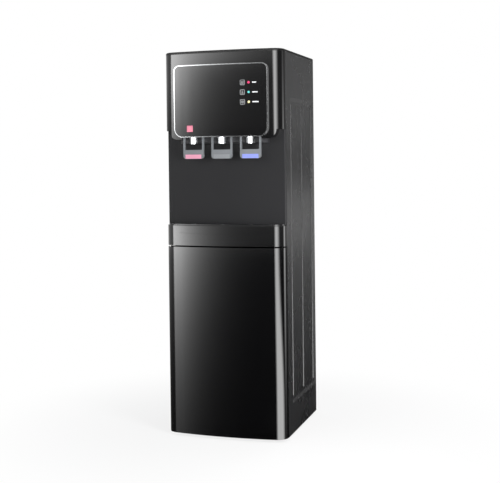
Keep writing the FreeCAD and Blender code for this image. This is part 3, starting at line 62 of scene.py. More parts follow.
# ---- places read from the frame ------------------------------------------------------------
LENS_LOW, LENS_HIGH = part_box("indicator_lenses")
NOZZLE_LOW, NOZZLE_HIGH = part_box("tap_nozzles")
REAR_LOW, REAR_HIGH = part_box("rear_panel_lower")
UPPER_LOW, UPPER_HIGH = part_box("rear_panel_upper")
LENS_X = (LENS_LOW.x + LENS_HIGH.x) / 2
LENS_R = (LENS_HIGH.x - LENS_LOW.x) / 2
LENS_BOTTOM = LENS_LOW.z + LENS_R
LENS_TOP = LENS_HIGH.z - LENS_R
LENS_MID = (LENS_BOTTOM + LENS_TOP) / 2

PANEL_BOW = 1066.5 * MM                     # radius of the control panel's bow, seen in plan
PANEL_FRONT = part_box("control_panel")[0].y  # its foremost point, at x = 0


def panel_y(x):
    """Y of the control panel's bowed face at x."""
    return PANEL_FRONT + PANEL_BOW - math.sqrt(PANEL_BOW ** 2 - x ** 2)


# ---- nodes of any material or world --------------------------------------------------------
def bare_tree(data):
    """Empty node tree of a material or world."""
    data.use_nodes = True
    data.node_tree.nodes.clear()
    return data.node_tree


def math_node(tree, operation, *values):
    """Result of a math node whose inputs are numbers or sockets."""
    node = tree.nodes.new("ShaderNodeMath")
    node.operation = operation
    for i, value in enumerate(values):
        if isinstance(value, (int, float)):
            node.inputs[i].default_value = value
        else:
            tree.links.new(value, node.inputs[i])
    return node.outputs[0]


def map_range(tree, value, start, end, low=0.0, high=1.0, curve="SMOOTHSTEP"):
    """Takes start..end to low..high."""
    node = tree.nodes.new("ShaderNodeMapRange")
    node.interpolation_type = curve
    for socket, number in zip(("From Min", "From Max", "To Min", "To Max"), (start, end, low, high)):
        node.inputs[socket].default_value = number
    tree.links.new(value, node.inputs["Value"])
    return node.outputs["Result"]


def show(tree, surface, kind):
    """Makes a shader the surface of its material or world."""
    tree.links.new(surface, tree.nodes.new("ShaderNodeOutput" + kind).inputs["Surface"])


# ---- finishes ------------------------------------------------------------------------------
NOISE_SPAN = (0.3, 0.7)          # a noise texture seldom leaves this part of 0..1
LENS_GLOW = 0.45
LENS_COLOURS = ((0.9, 0.82, 0.42), (0.12, 0.55, 0.52), (0.8, 0.05, 0.16))    # from the bottom up
LENS_BAND = 0.33                 # share of the piece's height that one colour takes


class Shader:
    """A Principled material and the few node recipes that this scene uses."""

    def __init__(self, name, colour, roughness, metallic=0.0, **sockets):
        self.material = bpy.data.materials.new(name)
        self.material.use_nodes = True
        self.tree = self.material.node_tree
        self.bsdf = self.tree.nodes["Principled BSDF"]
        self.bsdf.inputs["Base Color"].default_value = (*colour, 1.0)
        self.bsdf.inputs["Roughness"].default_value = roughness
        self.bsdf.inputs["Metallic"].default_value = metallic
        for socket, value in sockets.items():
            self.bsdf.inputs[socket.replace("_", " ")].default_value = value
        self.colour = colour
        self.roughness = roughness
        self.height = None

    def node(self, kind, **settings):
        made = self.tree.nodes.new("ShaderNode" + kind)
        for name, value in settings.items():
            setattr(made, name, value)
        return made

    def link(self, source, target):
        self.tree.links.new(source, target)

    def place(self, stretch=(1.0, 1.0, 1.0)):
        """Object coordinates in metres, stretched along the axes."""
        coordinates = self.node("TexCoord")
        mapping = self.node("Mapping")
        mapping.inputs["Scale"].default_value = stretch
        self.link(coordinates.outputs["Object"], mapping.inputs["Vector"])
        return mapping.outputs["Vector"]

    def noise(self, scale, detail=4.0, stretch=(1.0, 1.0, 1.0)):
        made = self.node("TexNoise")
        made.inputs["Scale"].default_value = scale
        made.inputs["Detail"].default_value = detail
        self.link(self.place(stretch), made.inputs["Vector"])
        return made.outputs["Fac"]

    def vary_colour(self, factor, other):
        """Wanders between the finish's own colour and another."""
        mix = self.node("Mix", data_type="RGBA")
        mix.inputs["A"].default_value = (*self.colour, 1.0)
        mix.inputs["B"].default_value = (*other, 1.0)
        self.link(factor, mix.inputs["Factor"])
        self.link(mix.outputs["Result"], self.bsdf.inputs["Base Color"])
        return self

    def vary_tone(self, factor, share):
        """Wanders between the finish's own colour and a share of it."""
        return self.vary_colour(factor, tuple(share * channel for channel in self.colour))

    def vary_roughness(self, factor, swing):
        low, high = self.roughness - swing, self.roughness + swing
        self.link(map_range(self.tree, factor, *NOISE_SPAN, low, high, "LINEAR"),
                  self.bsdf.inputs["Roughness"])
        return self

    def bump(self, factor, strength, distance):
        """Adds a relief on top of those before it."""
        made = self.node("Bump")
        made.inputs["Strength"].default_value = strength
        made.inputs["Distance"].default_value = distance
        self.link(factor, made.inputs["Height"])
        if self.height:
            self.link(self.height, made.inputs["Normal"])
        self.height = made.outputs["Normal"]
        self.link(self.height, self.bsdf.inputs["Normal"])
        return self


def gloss(name, colour, roughness=0.10):
    """Polished moulding: faint orange peel and a slow change of gloss."""
    made = Shader(name, colour, roughness)
    made.vary_roughness(made.noise(scale=9.0, detail=2.0), swing=0.015)
    made.bump(made.noise(scale=1.5, detail=0.0), strength=0.02, distance=0.2 * MM)
    return made.vary_tone(made.noise(scale=14.0), share=1.25).material


def moulded(name, colour, roughness=0.5, grain=900.0, ior=1.46):
    """Matt moulded plastic or rubber with a fine spark-eroded grain."""
    made = Shader(name, colour, roughness, IOR=ior)
    made.vary_roughness(made.noise(scale=25.0), swing=0.06)
    made.bump(made.noise(scale=grain, detail=3.0), strength=0.25, distance=0.2 * MM)
    return made.vary_tone(made.noise(scale=30.0), share=1.3).material


def painted(name, colour, roughness, peel=420.0, level=0.5):
    """Powder coat: orange peel over rolled sheet."""
    made = Shader(name, colour, roughness, Specular_IOR_Level=level)
    made.vary_roughness(made.noise(scale=6.0, detail=3.0), swing=0.04)
    made.bump(made.noise(scale=3.0, detail=1.0), strength=0.03, distance=2.0 * MM)
    made.bump(made.noise(scale=peel, detail=2.0), strength=0.14, distance=0.3 * MM)
    return made.vary_tone(made.noise(scale=5.0, detail=5.0), share=1.15).material


def brushed(name, colour, roughness, stretch):
    """Metal sheet or bar with fine lines along one axis."""
    made = Shader(name, colour, roughness, metallic=1.0)
    lines = made.noise(scale=1400.0, detail=3.0, stretch=stretch)
    made.vary_roughness(lines, swing=0.05)
    made.bump(lines, strength=0.05, distance=0.08 * MM)
    return made.vary_tone(made.noise(scale=300.0, stretch=stretch), share=0.86).material


def plated(name, colour, roughness=0.07):
    """Bright plating with a slight unevenness."""
    made = Shader(name, colour, roughness, metallic=1.0)
    made.vary_roughness(made.noise(scale=40.0), swing=0.025)
    made.bump(made.noise(scale=120.0, detail=1.0), strength=0.03, distance=0.2 * MM)
    return made.vary_tone(made.noise(scale=60.0), share=0.93).material


def clear_smoke(name, colour):
    """Smoke-clear moulding that lets about half of the light through."""
    made = Shader(name, colour, roughness=0.16, IOR=1.49, Transmission_Weight=0.42)
    made.vary_roughness(made.noise(scale=70.0, detail=2.0), swing=0.03)
    made.bump(made.noise(scale=90.0, detail=1.0), strength=0.05, distance=0.3 * MM)
    return made.vary_tone(made.noise(scale=35.0), share=0.85).material


def silicone(name, colour):
    """Milky soft tube."""
    made = Shader(name, colour, roughness=0.42, IOR=1.41, Subsurface_Weight=0.25, Subsurface_Scale=2.0 * MM)
    made.vary_roughness(made.noise(scale=50.0), swing=0.06)
    made.bump(made.noise(scale=500.0, detail=2.0), strength=0.08, distance=0.2 * MM)
    return made.vary_tone(made.noise(scale=40.0), share=0.9).material


def cast_foam(name, colour, patches):
    """Rigid insulating foam: open cells and a skin that darkens in patches."""
    made = Shader(name, colour, roughness=0.9, Specular_IOR_Level=0.2)
    cells = made.node("TexVoronoi", feature="SMOOTH_F1")
    cells.inputs["Scale"].default_value = 380.0
    made.link(made.place(), cells.inputs["Vector"])
    made.vary_roughness(made.noise(scale=30.0), swing=0.05)
    made.bump(cells.outputs["Distance"], strength=0.5, distance=0.8 * MM)
    return made.vary_colour(made.noise(scale=22.0), patches).material


def lens(name):
    """Three small lamps in one piece, told apart by their height."""
    made = Shader(name, LENS_COLOURS[0], roughness=0.12, Emission_Strength=LENS_GLOW)
    parts = made.node("SeparateXYZ")
    made.link(made.place(), parts.inputs["Vector"])
    height = map_range(made.tree, parts.outputs["Z"], LENS_BOTTOM - LENS_R, LENS_TOP + LENS_R, curve="LINEAR")
    bands = made.node("ValToRGB")
    bands.color_ramp.interpolation = "CONSTANT"
    stops = bands.color_ramp.elements
    for i, band in enumerate(LENS_COLOURS):
        stop = stops[i] if i < len(stops) else stops.new(i * LENS_BAND)
        stop.position = i * LENS_BAND
        stop.color = (*band, 1.0)
    made.link(height, bands.inputs["Fac"])
    made.link(bands.outputs["Color"], made.bsdf.inputs["Base Color"])
    made.link(bands.outputs["Color"], made.bsdf.inputs["Emission Color"])
    made.vary_roughness(made.noise(scale=200.0), swing=0.03)
    return made.material


# By the slot of a node, and below by the name of a node that differs from its slot.
FINISHES = {
    "cabinet_steel": painted("side_paint", (0.012, 0.012, 0.0125), 0.27),
    "inner_steel": painted("inner_paint", (0.30, 0.31, 0.32), 0.48),
    "panel_steel": painted("front_panel_paint", (0.020, 0.020, 0.021), 0.30, peel=900.0, level=0.1),
    "gloss_black": gloss("gloss_black", (0.0016, 0.0016, 0.0018)),
    "dark_plastic": moulded("dark_plastic", (0.018, 0.018, 0.02)),
    "bright_trim": plated("bright_plating", (0.86, 0.87, 0.88)),
    "stainless": brushed("stainless", (0.55, 0.55, 0.54), 0.28, stretch=(1.0, 1.0, 0.04)),
    "rubber_black": moulded("rubber", (0.014, 0.014, 0.015), 0.75, grain=1400.0),
    "silicone": silicone("silicone_tube", (0.62, 0.63, 0.64)),
    "foam": cast_foam("foam", (0.74, 0.66, 0.44), patches=(0.62, 0.5, 0.3)),
    "copper_brass": brushed("copper", (0.72, 0.38, 0.24), 0.3, stretch=(1.0, 1.0, 0.1)),
    "smoke_clear": clear_smoke("smoke_clear", (0.36, 0.38, 0.40)),
    "lens_red": lens("lamp_lens"),
    "key_red": gloss("key_pink", (0.70, 0.22, 0.30), 0.3),
    "bar_hot": gloss("bar_pink", (0.63, 0.27, 0.37), 0.3),
    "bar_warm": gloss("bar_grey", (0.20, 0.21, 0.22), 0.3),
    "bar_cold": gloss("bar_blue", (0.22, 0.26, 0.63), 0.3),
}
OTHER_FINISHES = {
    "compressor": moulded("compressor_paint", (0.012, 0.012, 0.012), 0.35, grain=300.0, ior=1.5),
    "drain_spigots": moulded("drain_white", (0.6, 0.6, 0.58), 0.42),
    "hot_drain_cap": moulded("cap_red", (0.42, 0.02, 0.02), 0.42),
    "cold_drain_cap": moulded("cap_blue", (0.03, 0.08, 0.36), 0.42),
    "hot_switch": moulded("switch_red", (0.45, 0.015, 0.015), 0.35),
    "cold_switch": moulded("switch_green", (0.02, 0.28, 0.07), 0.35),
    "bottle_floor": moulded("floor_plastic", (0.05, 0.05, 0.052)),
    "control_trim": plated("trim_plating", (0.30, 0.305, 0.31), 0.16),
    "top_cover": moulded("top_black", (0.003, 0.003, 0.003), 0.42, grain=700.0, ior=1.3),
    "drip_grille": gloss("grille_gloss", (0.006, 0.006, 0.0065), 0.2),
    "condenser_wires": moulded("condenser_paint", (0.01, 0.01, 0.01), 0.4, grain=600.0),
}
PRINT = moulded("pale_print", (0.42, 0.43, 0.44), grain=1500.0)
PRINT_BRIGHT = moulded("bright_print", (0.66, 0.67, 0.68), grain=1500.0)
SCREW_STEEL = brushed("screw_zinc", (0.45, 0.45, 0.44), 0.3, stretch=(0.2, 1.0, 1.0))


def finish_nodes():
    """Gives every node of the CAD part its finish."""
    for name, thing in NODES.items():
        thing.data.materials.clear()
        thing.data.materials.append(OTHER_FINISHES.get(name) or FINISHES[SLOT_OF[name]])


# ---- meshes --------------------------------------------------------------------------------
LOOP_STEPS = 5                   # stretches in each round corner


def add_object(name, mesh, material):
    """Object with one material, linked into the scene."""
    mesh.materials.append(material)
    thing = bpy.data.objects.new(name, mesh)
    bpy.context.scene.collection.objects.link(thing)
    return thing


def mesh_piece(name, build, material, body):
    """New piece from a bmesh builder, riding on a body."""
    mesh = bpy.data.meshes.new(name)
    bm = bmesh.new()
    build(bm)
    bmesh.ops.recalc_face_normals(bm, faces=bm.faces)
    bm.to_mesh(mesh)
    bm.free()
    thing = add_object(name, mesh, material)
    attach(thing, body)


def bridge(bm, a, b):
    """Band of faces between two closed rings of vertices."""
    for i in range(len(a)):
        j = (i + 1) % len(a)
        bm.faces.new((a[i], a[j], b[j], b[i]))


def rounded_loop(cx, cz, wide, high, radius):
    """Rounded rectangle as (x, z) points, anticlockwise."""
    loop = []
    for quarter, (sx, sz) in enumerate(((1, -1), (1, 1), (-1, 1), (-1, -1))):
        for i in range(LOOP_STEPS + 1):
            turn = math.pi / 2 * (quarter - 1 + i / LOOP_STEPS)
            loop.append((cx + sx * (wide / 2 - radius) + radius * math.cos(turn),
                         cz + sz * (high / 2 - radius) + radius * math.sin(turn)))
    return loop


# ---- marks on the control panel ------------------------------------------------------------
PRINT_PROUD = 0.06 * MM
PRINT_SINK = 0.05 * MM
ICON_GAP = 17.0 * MM             # middle of an icon, inboard of its lamp
ICON_WIDE, ICON_HIGH = 12.5 * MM, 13.5 * MM
ICON_LINE = 0.9 * MM
ICON_R = 2.2 * MM
BAR_PITCH, BAR_LIFT = 2.6 * MM, 0.9 * MM
BAR_WIDE, BAR_HIGH, BAR_R = 1.0 * MM, 5.0 * MM, 0.49 * MM
BASE_DROP = 3.4 * MM
BASE_WIDE, BASE_HIGH, BASE_R = 7.0 * MM, 1.1 * MM, 0.5 * MM
STEP_PITCH = 2.7 * MM
STEP_WIDES = (7.0 * MM, 5.0 * MM, 3.0 * MM)  # from the bottom up
STEP_HIGH, STEP_R = 1.2 * MM, 0.55 * MM
RING_OUT, RING_OUT_R = 6.6 * MM, 3.25 * MM
RING_IN, RING_IN_R = 4.8 * MM, 2.35 * MM
DOT_WIDE, DOT_R = 1.8 * MM, 0.88 * MM
CAPTION_GAP = 9.0 * MM           # start of a caption bar, outboard of its lamp
CAPTION_HIGH = 3.0 * MM
CAPTION_R = 0.4 * CAPTION_HIGH
CAPTION_LONGS = {"top": 11.0 * MM, "middle": 15.0 * MM, "bottom": 17.0 * MM}
ROW_HEIGHTS = {"top": LENS_TOP, "middle": LENS_MID, "bottom": LENS_BOTTOM}


def inlay(bm, outer, inner=None):
    """Thin solid that follows the control panel's face: a plate, or a frame if inner is given."""
    def ring(loop, proud):
        return [bm.verts.new((x, panel_y(x) - proud, z)) for x, z in loop]

    front, back = ring(outer, PRINT_PROUD), ring(outer, -PRINT_SINK)
    bridge(bm, front, back)
    if inner:
        front_in, back_in = ring(inner, PRINT_PROUD), ring(inner, -PRINT_SINK)
        bridge(bm, front_in, front)
        bridge(bm, back_in, front_in)
        bridge(bm, back, back_in)
    else:
        bm.faces.new(front)
        bm.faces.new(back[::-1])


def icon_frame(bm, cx, cz):
    outer = rounded_loop(cx, cz, ICON_WIDE, ICON_HIGH, ICON_R)
    inner = rounded_loop(cx, cz, ICON_WIDE - 2 * ICON_LINE, ICON_HIGH - 2 * ICON_LINE, ICON_R - ICON_LINE)
    inlay(bm, outer, inner)


def glyph_bars(bm, cx, cz):
    """Three upright bars over a base line."""
    for i in (-1, 0, 1):
        inlay(bm, rounded_loop(cx + i * BAR_PITCH, cz + BAR_LIFT, BAR_WIDE, BAR_HIGH, BAR_R))
    inlay(bm, rounded_loop(cx, cz - BASE_DROP, BASE_WIDE, BASE_HIGH, BASE_R))


def glyph_steps(bm, cx, cz):
    """Level bars that get shorter upwards."""
    for i, wide in enumerate(STEP_WIDES):
        inlay(bm, rounded_loop(cx, cz + (i - 1) * STEP_PITCH, wide, STEP_HIGH, STEP_R))


def glyph_ring(bm, cx, cz):
    """Ring with a dot."""
    inlay(bm, rounded_loop(cx, cz, RING_OUT, RING_OUT, RING_OUT_R),
          rounded_loop(cx, cz, RING_IN, RING_IN, RING_IN_R))
    inlay(bm, rounded_loop(cx, cz, DOT_WIDE, DOT_WIDE, DOT_R))


GLYPHS = {"top": glyph_bars, "middle": glyph_steps, "bottom": glyph_ring}


def icon(row, bm):
    """Framed symbol beside a lamp."""
    place = LENS_X - ICON_GAP, ROW_HEIGHTS[row]
    icon_frame(bm, *place)
    GLYPHS[row](bm, *place)


def caption(row, bm):
    """Plain bar where the photograph has a word."""
    long = CAPTION_LONGS[row]
    inlay(bm, rounded_loop(LENS_X + CAPTION_GAP + long / 2, ROW_HEIGHTS[row], long, CAPTION_HIGH, CAPTION_R))


def panel_marks():
    for row in ROW_HEIGHTS:
        mesh_piece("icon_" + row, partial(icon, row), PRINT, "cabinet")
        mesh_piece("caption_bar_" + row, partial(caption, row), PRINT_BRIGHT, "cabinet")


# ---- painted shade: dark strips at the nozzles' grooves ------------------------------------
SHADE_STRIP_MIDDLE = math.radians(14)   # to the right of the nozzle's front
SHADE_STRIP_HALF = math.radians(7)
SHADE_STRIP_STEPS = 4
SHADE_STRIP_ENDS = (1.5 * MM, 1.0 * MM)  # left free below and above it


def nozzle_groove_painted_shade():
    """Dark strip of painted shade by the right edge of each nozzle's groove; most of it lies inside the
    nozzle's wall.
    """
    nozzle_r = (NOZZLE_HIGH.y - NOZZLE_LOW.y) / 2
    middle_y = (NOZZLE_HIGH.y + NOZZLE_LOW.y) / 2
    low, high = NOZZLE_LOW.z + SHADE_STRIP_ENDS[0], NOZZLE_HIGH.z - SHADE_STRIP_ENDS[1]
    outer, inner = nozzle_r + PRINT_PROUD, nozzle_r - PRINT_SINK
    section = ((outer, low), (outer, high), (inner, high), (inner, low))

    def strip(bm, x):
        columns = []
        for i in range(SHADE_STRIP_STEPS + 1):
            turn = SHADE_STRIP_MIDDLE - SHADE_STRIP_HALF + 2 * SHADE_STRIP_HALF * i / SHADE_STRIP_STEPS
            columns.append([bm.verts.new((x + r * math.sin(turn), middle_y - r * math.cos(turn), z))
                            for r, z in section])
        for a, b in zip(columns, columns[1:]):
            bridge(bm, a, b)
        bm.faces.new(columns[0])
        bm.faces.new(columns[-1][::-1])

    def build(bm):
        for x in (NOZZLE_LOW.x + nozzle_r, (NOZZLE_LOW.x + NOZZLE_HIGH.x) / 2, NOZZLE_HIGH.x - nozzle_r):
            strip(bm, x)

    # the dark strips are painted shade of the grooves, laid on the chrome nozzles
    mesh_piece("nozzle_groove_painted_shade", build, FINISHES["dark_plastic"], "cabinet")


# ---- screws on the back --------------------------------------------------------------------
SCREW_R = 3.6 * MM
SCREW_HIGH = 0.9 * MM
SCREW_SIDES = 48
SCREW_HEAD = ((1.0, 0.0), (1.0, 0.35), (0.9, 0.75), (0.72, 1.0))    # shares of its radius and height
CROSS_ARM, CROSS_HALF = 0.62 * SCREW_R, 0.14 * SCREW_R  # reach of the recess's arms, half their width
CROSS_FLOOR = (0.7, 0.25)        # its floor: share of the cross's size, and of the head's height
FLAT = 1e-6                      # keeps a division from zero
SCREW_IN = 9.0 * MM              # from the rear panels' side edges
LOWER_ENDS = (30.0 * MM, 20.0 * MM)  # outer screws, from the lower rear panel's bottom and top edge
UPPER_ENDS = (60.0 * MM, 40.0 * MM)  # the same on the upper rear panel


def cross(turn):
    """Distance from the middle of a cross to its outline."""
    c, s = max(abs(math.cos(turn)), FLAT), max(abs(math.sin(turn)), FLAT)
    return max(min(CROSS_ARM / c, CROSS_HALF / s), min(CROSS_HALF / c, CROSS_ARM / s))


def screw(bm, x, y, z):
    """Low pan head with a cross recess, facing +Y."""
    turns = [2 * math.pi * (i + 0.5) / SCREW_SIDES for i in range(SCREW_SIDES)]

    def ring(radii, height):
        return [bm.verts.new((x + r * math.cos(t), y + height * SCREW_HIGH, z + r * math.sin(t)))
                for t, r in zip(turns, radii)]

    crosses = [cross(t) for t in turns]
    rings = [ring([share * SCREW_R] * SCREW_SIDES, height) for share, height in SCREW_HEAD]
    rings.append(ring(crosses, 1.0))
    rings.append(ring([CROSS_FLOOR[0] * r for r in crosses], CROSS_FLOOR[1]))
    for below, above in zip(rings, rings[1:]):
        bridge(bm, below, above)
    bm.faces.new(rings[-1])
    bm.faces.new(rings[0][::-1])


def rear_screws():
    """Three screws up each side of both rear panels."""
    def build(bm):
        for low, high, ends in ((REAR_LOW, REAR_HIGH, LOWER_ENDS), (UPPER_LOW, UPPER_HIGH, UPPER_ENDS)):
            for z in (low.z + ends[0], (low.z + high.z) / 2, high.z - ends[1]):
                for side in (-1, 1):
                    screw(bm, side * (REAR_HIGH.x - SCREW_IN), REAR_HIGH.y, z)

    mesh_piece("rear_screws", build, SCREW_STEEL, "cabinet")


# ---- studio wall ---------------------------------------------------------------------------
# Angles are degrees round the Z axis from -Y, to the right unless said otherwise.
WALL_R = 4.0
WALL_LOW, WALL_HIGH = -2.6, 3.4
WALL_FROM, WALL_TO = math.radians(-150), math.radians(184)
WALL_STEPS = 96
WALL_DIM = 0.01                  # faint light of the whole wall

# Large soft source on the left, in a lower and an upper half.
SOURCE_FULL = 38.0               # degrees left of the front where it is full
SOURCE_FADE = 0.150              # its fall per degree towards the front
SOURCE_CAP = 1.1                 # most that it may rise beyond full
SOURCE_END = (41.0, 49.0)        # degrees left over which it falls off again
SOURCE_LEFT = 0.06               # what is left of it there
LOW_LIGHT, LOW_RISE = 12.7, 2.1  # strength of the lower half, and its rise per metre
LOW_AT = 0.17                    # height of that strength
LOW_END = (0.32, 0.55)           # heights between which it ends
HIGH_LIGHT, HIGH_RISE = 15.0, 2.9    # the same for the upper half
HIGH_AT = 1.30
HIGH_END = (0.60, 0.90)
HIGH_FADE_FROM = (1.31, 1.40)    # between these heights it comes to fade more slowly
HIGH_FADE = 0.075
HALF_TOP = 13.5                  # most light of either half

# Strip on the right, which leans over towards its foot.
STRIP_RISE = (3.0, 17.0)         # angles over which it grows
STRIP_FALL = (24.0, 58.0)        # angles over which it ends
STRIP_TURN = (0.20, -0.90)       # heights between which it leans over
STRIP_LEANS = (4.0, 40.0)        # by how many degrees its near and its far edge do
STRIP_TOP = 10.0

# Faint light at the head and at the drip tray.
HEAD_DIM, HEAD_RISE = 0.22, (0.75, 1.0)
TRAY_DIM, TRAY_RISE, TRAY_FALL = 0.3, (0.10, 0.20), (0.45, 0.60)

# Light behind the right side, for its panel and beads.
REAR_LIGHT, REAR_RISE = 0.20, (110.0, 165.0)
SIDE_LIGHT, SIDE_RISE, SIDE_FALL = 5.0, (94.0, 106.0), (112.0, 130.0)
REAR_GLOW, REAR_REACH = 0.3, 0.8     # middle height of both, and how far from it they fade to a third


def studio_wall():
    """Curved wall that only reflections see."""
    points = []
    for i in range(WALL_STEPS + 1):
        turn = WALL_FROM + (WALL_TO - WALL_FROM) * i / WALL_STEPS
        points += [(WALL_R * math.sin(turn), -WALL_R * math.cos(turn), z) for z in (WALL_LOW, WALL_HIGH)]
    faces = [(i, i + 2, i + 3, i + 1) for i in range(0, 2 * WALL_STEPS, 2)]
    mesh = bpy.data.meshes.new("studio_wall")
    mesh.from_pydata(points, [], faces)
    wall = add_object("studio_wall", mesh, wall_material())
    for ray in ("camera", "diffuse", "transmission", "volume_scatter", "shadow"):
        setattr(wall, "visible_" + ray, False)


def wall_material():
    """Light of the wall, by angle and height."""
    made = bpy.data.materials.new("studio_wall")
    made.cycles.emission_sampling = "NONE"
    tree = bare_tree(made)
    calc = partial(math_node, tree)
    ramp = partial(map_range, tree)

    place = tree.nodes.new("ShaderNodeTexCoord")
    parts = tree.nodes.new("ShaderNodeSeparateXYZ")
    tree.links.new(place.outputs["Object"], parts.inputs["Vector"])
    x, y, z = (parts.outputs[axis] for axis in "XYZ")
    right = calc("DEGREES", calc("ARCTAN2", x, calc("MULTIPLY", y, -1.0)))
    left = calc("MULTIPLY", right, -1.0)

    def half(light, rise, at, start, end):
        """One half of the source: brighter upwards, and cut off smoothly where it ends."""
        grown = calc("EXPONENT", calc("MULTIPLY", calc("SUBTRACT", z, at), rise))
        lit = calc("MINIMUM", calc("MULTIPLY", grown, light), HALF_TOP)
        return calc("MULTIPLY", lit, ramp(z, start, end))

    halves = calc("ADD", half(LOW_LIGHT, LOW_RISE, LOW_AT, *LOW_END[::-1]),
                  half(HIGH_LIGHT, HIGH_RISE, HIGH_AT, *HIGH_END))
    fall = ramp(z, *HIGH_FADE_FROM, SOURCE_FADE, HIGH_FADE)
    fade = calc("EXPONENT", calc("MULTIPLY", calc("SUBTRACT", left, SOURCE_FULL), fall))
    source = calc("MULTIPLY", calc("MINIMUM", fade, SOURCE_CAP), halves)
    source = calc("MULTIPLY", source, ramp(left, *SOURCE_END, 1.0, SOURCE_LEFT))

    near, far = (calc("SUBTRACT", right, ramp(z, *STRIP_TURN, 0.0, lean)) for lean in STRIP_LEANS)
    strip = calc("MULTIPLY", ramp(near, *STRIP_RISE), ramp(far, *STRIP_FALL, STRIP_TOP, 0.0))

    above = calc("DIVIDE", calc("SUBTRACT", z, REAR_GLOW), REAR_REACH)
    glow = calc("EXPONENT", calc("MULTIPLY", calc("MULTIPLY", above, above), -1.0))
    beside = calc("MULTIPLY", ramp(right, *SIDE_RISE, 0.0, SIDE_LIGHT), ramp(right, *SIDE_FALL, 1.0, 0.0))
    rear = calc("MULTIPLY", calc("ADD", ramp(right, *REAR_RISE, 0.0, REAR_LIGHT), beside), glow)

    tray = calc("MULTIPLY", ramp(z, *TRAY_RISE, 0.0, TRAY_DIM), ramp(z, *TRAY_FALL, 1.0, 0.0))
    dim = calc("ADD", calc("ADD", ramp(z, *HEAD_RISE, 0.0, HEAD_DIM), tray), WALL_DIM)
    emission = tree.nodes.new("ShaderNodeEmission")
    total = calc("ADD", calc("ADD", source, strip), calc("ADD", rear, dim))
    tree.links.new(total, emission.inputs["Strength"])
    show(tree, emission.outputs["Emission"], "Material")
    return made


# ---- world and floor -----------------------------------------------------------------------
WHITE = (1.0, 1.0, 1.0, 1.0)
SKY = (0.97, 0.98, 1.0, 1.0)
SKY_STRENGTH = 0.45
FLOOR_HALF = 30.0
FLOOR_COLOUR = (0.9, 0.9, 0.9, 1.0)
FLOOR_FADE = (0.25, 0.85)        # distances from the object's middle between which its look changes
FLOOR_WHITE = (0.8, 1.0)         # share of plain white in it, near and far


def white_where_seen(tree, plain, white, share=1.0):
    """The plain shader, with a share of the white one where camera, glossy or clear rays see it."""
    rays = tree.nodes.new("ShaderNodeLightPath")
    seen = rays.outputs["Is Camera Ray"]
    for name in ("Is Glossy Ray", "Is Transmission Ray"):
        seen = math_node(tree, "MAXIMUM", seen, rays.outputs[name])
    mix = tree.nodes.new("ShaderNodeMixShader")
    tree.links.new(math_node(tree, "MULTIPLY", seen, share), mix.inputs["Fac"])
    tree.links.new(plain, mix.inputs[1])
    tree.links.new(white, mix.inputs[2])
    return mix.outputs[0]


def world():
    """Even fill light, white where it is seen."""
    made = bpy.data.worlds.new("studio")
    bpy.context.scene.world = made
    tree = bare_tree(made)
    lights = []
    for colour, strength in ((SKY, SKY_STRENGTH), (WHITE, 1.0)):
        light = tree.nodes.new("ShaderNodeBackground")
        light.inputs["Color"].default_value = colour
        light.inputs["Strength"].default_value = strength
        lights.append(light.outputs[0])
    show(tree, white_where_seen(tree, *lights), "World")


def floor():
    """Pale floor that reads white and keeps a faint contact shadow."""
    made = bpy.data.materials.new("floor")
    tree = bare_tree(made)
    matt = tree.nodes.new("ShaderNodeBsdfDiffuse")
    matt.inputs["Color"].default_value = FLOOR_COLOUR
    white = tree.nodes.new("ShaderNodeEmission")
    white.inputs["Strength"].default_value = 1.0
    place = tree.nodes.new("ShaderNodeTexCoord")
    reach = tree.nodes.new("ShaderNodeVectorMath")
    reach.operation = "LENGTH"
    tree.links.new(place.outputs["Object"], reach.inputs[0])
    share = map_range(tree, reach.outputs["Value"], *FLOOR_FADE, *FLOOR_WHITE)
    show(tree, white_where_seen(tree, matt.outputs[0], white.outputs[0], share), "Material")

    corners = [(sx * FLOOR_HALF, sy * FLOOR_HALF, 0) for sx, sy in ((-1, -1), (1, -1), (1, 1), (-1, 1))]
    mesh = bpy.data.meshes.new("floor")
    mesh.from_pydata(corners, [], [(0, 1, 2, 3)])
    ground = add_object("floor", mesh, made)
    ground.visible_glossy = False


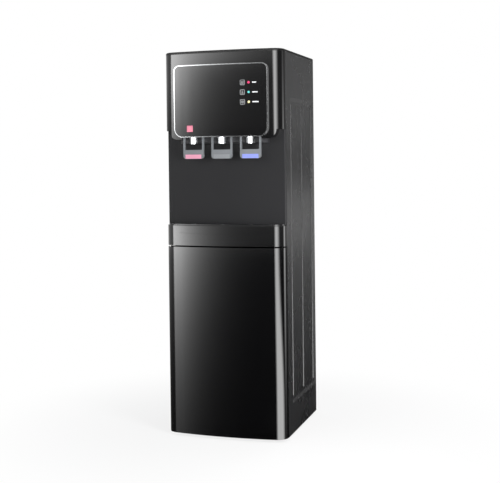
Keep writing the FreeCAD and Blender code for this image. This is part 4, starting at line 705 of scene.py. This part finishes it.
# ---- lamps and camera ----------------------------------------------------------------------
LAMPS = {                        # place, point it aims at, width and height, watts
    "lamp_front": ((-1.3, -2.6, 1.9), (0, 0, 0.55), (1.6, 1.6), 12.0),
    "lamp_right": ((0.72, -0.72, 0.66), (0.1, -0.1, 0.62), (0.3, 0.6), 10.0),
    "lamp_back": ((0.6, 2.4, 1.8), (0, 0, 0.6), (1.6, 1.6), 16.0),
}
CAMERA_AT = (0.87776, -2.67528, 0.75799)
CAMERA_YAW, CAMERA_PITCH, CAMERA_ROLL = 0.3079, -0.0254, -0.0116     # radians
CAMERA_LENS, CAMERA_SENSOR = 72.14, 36.0     # millimetres
CAMERA_SHIFT_Y = -0.12
CAMERA_CLIP = (0.05, 200.0)


def lamps():
    """Soft lamps that no camera or reflection sees."""
    for name, (place, aim, size, watts) in LAMPS.items():
        data = bpy.data.lights.new(name, "AREA")
        data.shape = "RECTANGLE"
        data.size, data.size_y = size
        data.energy = watts
        lamp = bpy.data.objects.new(name, data)
        lamp.location = place
        lamp.rotation_mode = "QUATERNION"
        lamp.rotation_quaternion = (Vector(aim) - Vector(place)).to_track_quat("-Z", "Y")
        lamp.visible_camera = False
        lamp.visible_glossy = False
        bpy.context.scene.collection.objects.link(lamp)


def camera():
    """Camera at the photograph's place and angle."""
    data = bpy.data.cameras.new("camera")
    data.lens = CAMERA_LENS
    data.sensor_width = CAMERA_SENSOR
    data.shift_y = CAMERA_SHIFT_Y
    data.clip_start, data.clip_end = CAMERA_CLIP
    thing = bpy.data.objects.new("camera", data)
    bpy.context.scene.collection.objects.link(thing)
    yaw, pitch, roll = CAMERA_YAW, CAMERA_PITCH, CAMERA_ROLL
    ahead = Vector((-math.sin(yaw) * math.cos(pitch), math.cos(yaw) * math.cos(pitch), math.sin(pitch)))
    right = Vector((math.cos(yaw), math.sin(yaw), 0.0))
    up = right.cross(ahead)
    c, s = math.cos(roll), math.sin(roll)
    turned_right, turned_up = c * right + s * up, c * up - s * right
    rotation = Matrix((turned_right, turned_up, -ahead)).transposed()
    thing.matrix_world = Matrix.Translation(CAMERA_AT) @ rotation.to_4x4()
    bpy.context.scene.camera = thing


# ---- build ---------------------------------------------------------------------------------
finish_nodes()
panel_marks()
rear_screws()
# painted shade strips at the nozzles' grooves
nozzle_groove_painted_shade()
world()
floor()
studio_wall()
lamps()
camera()
bpy.context.scene.view_settings.view_transform = "Standard"
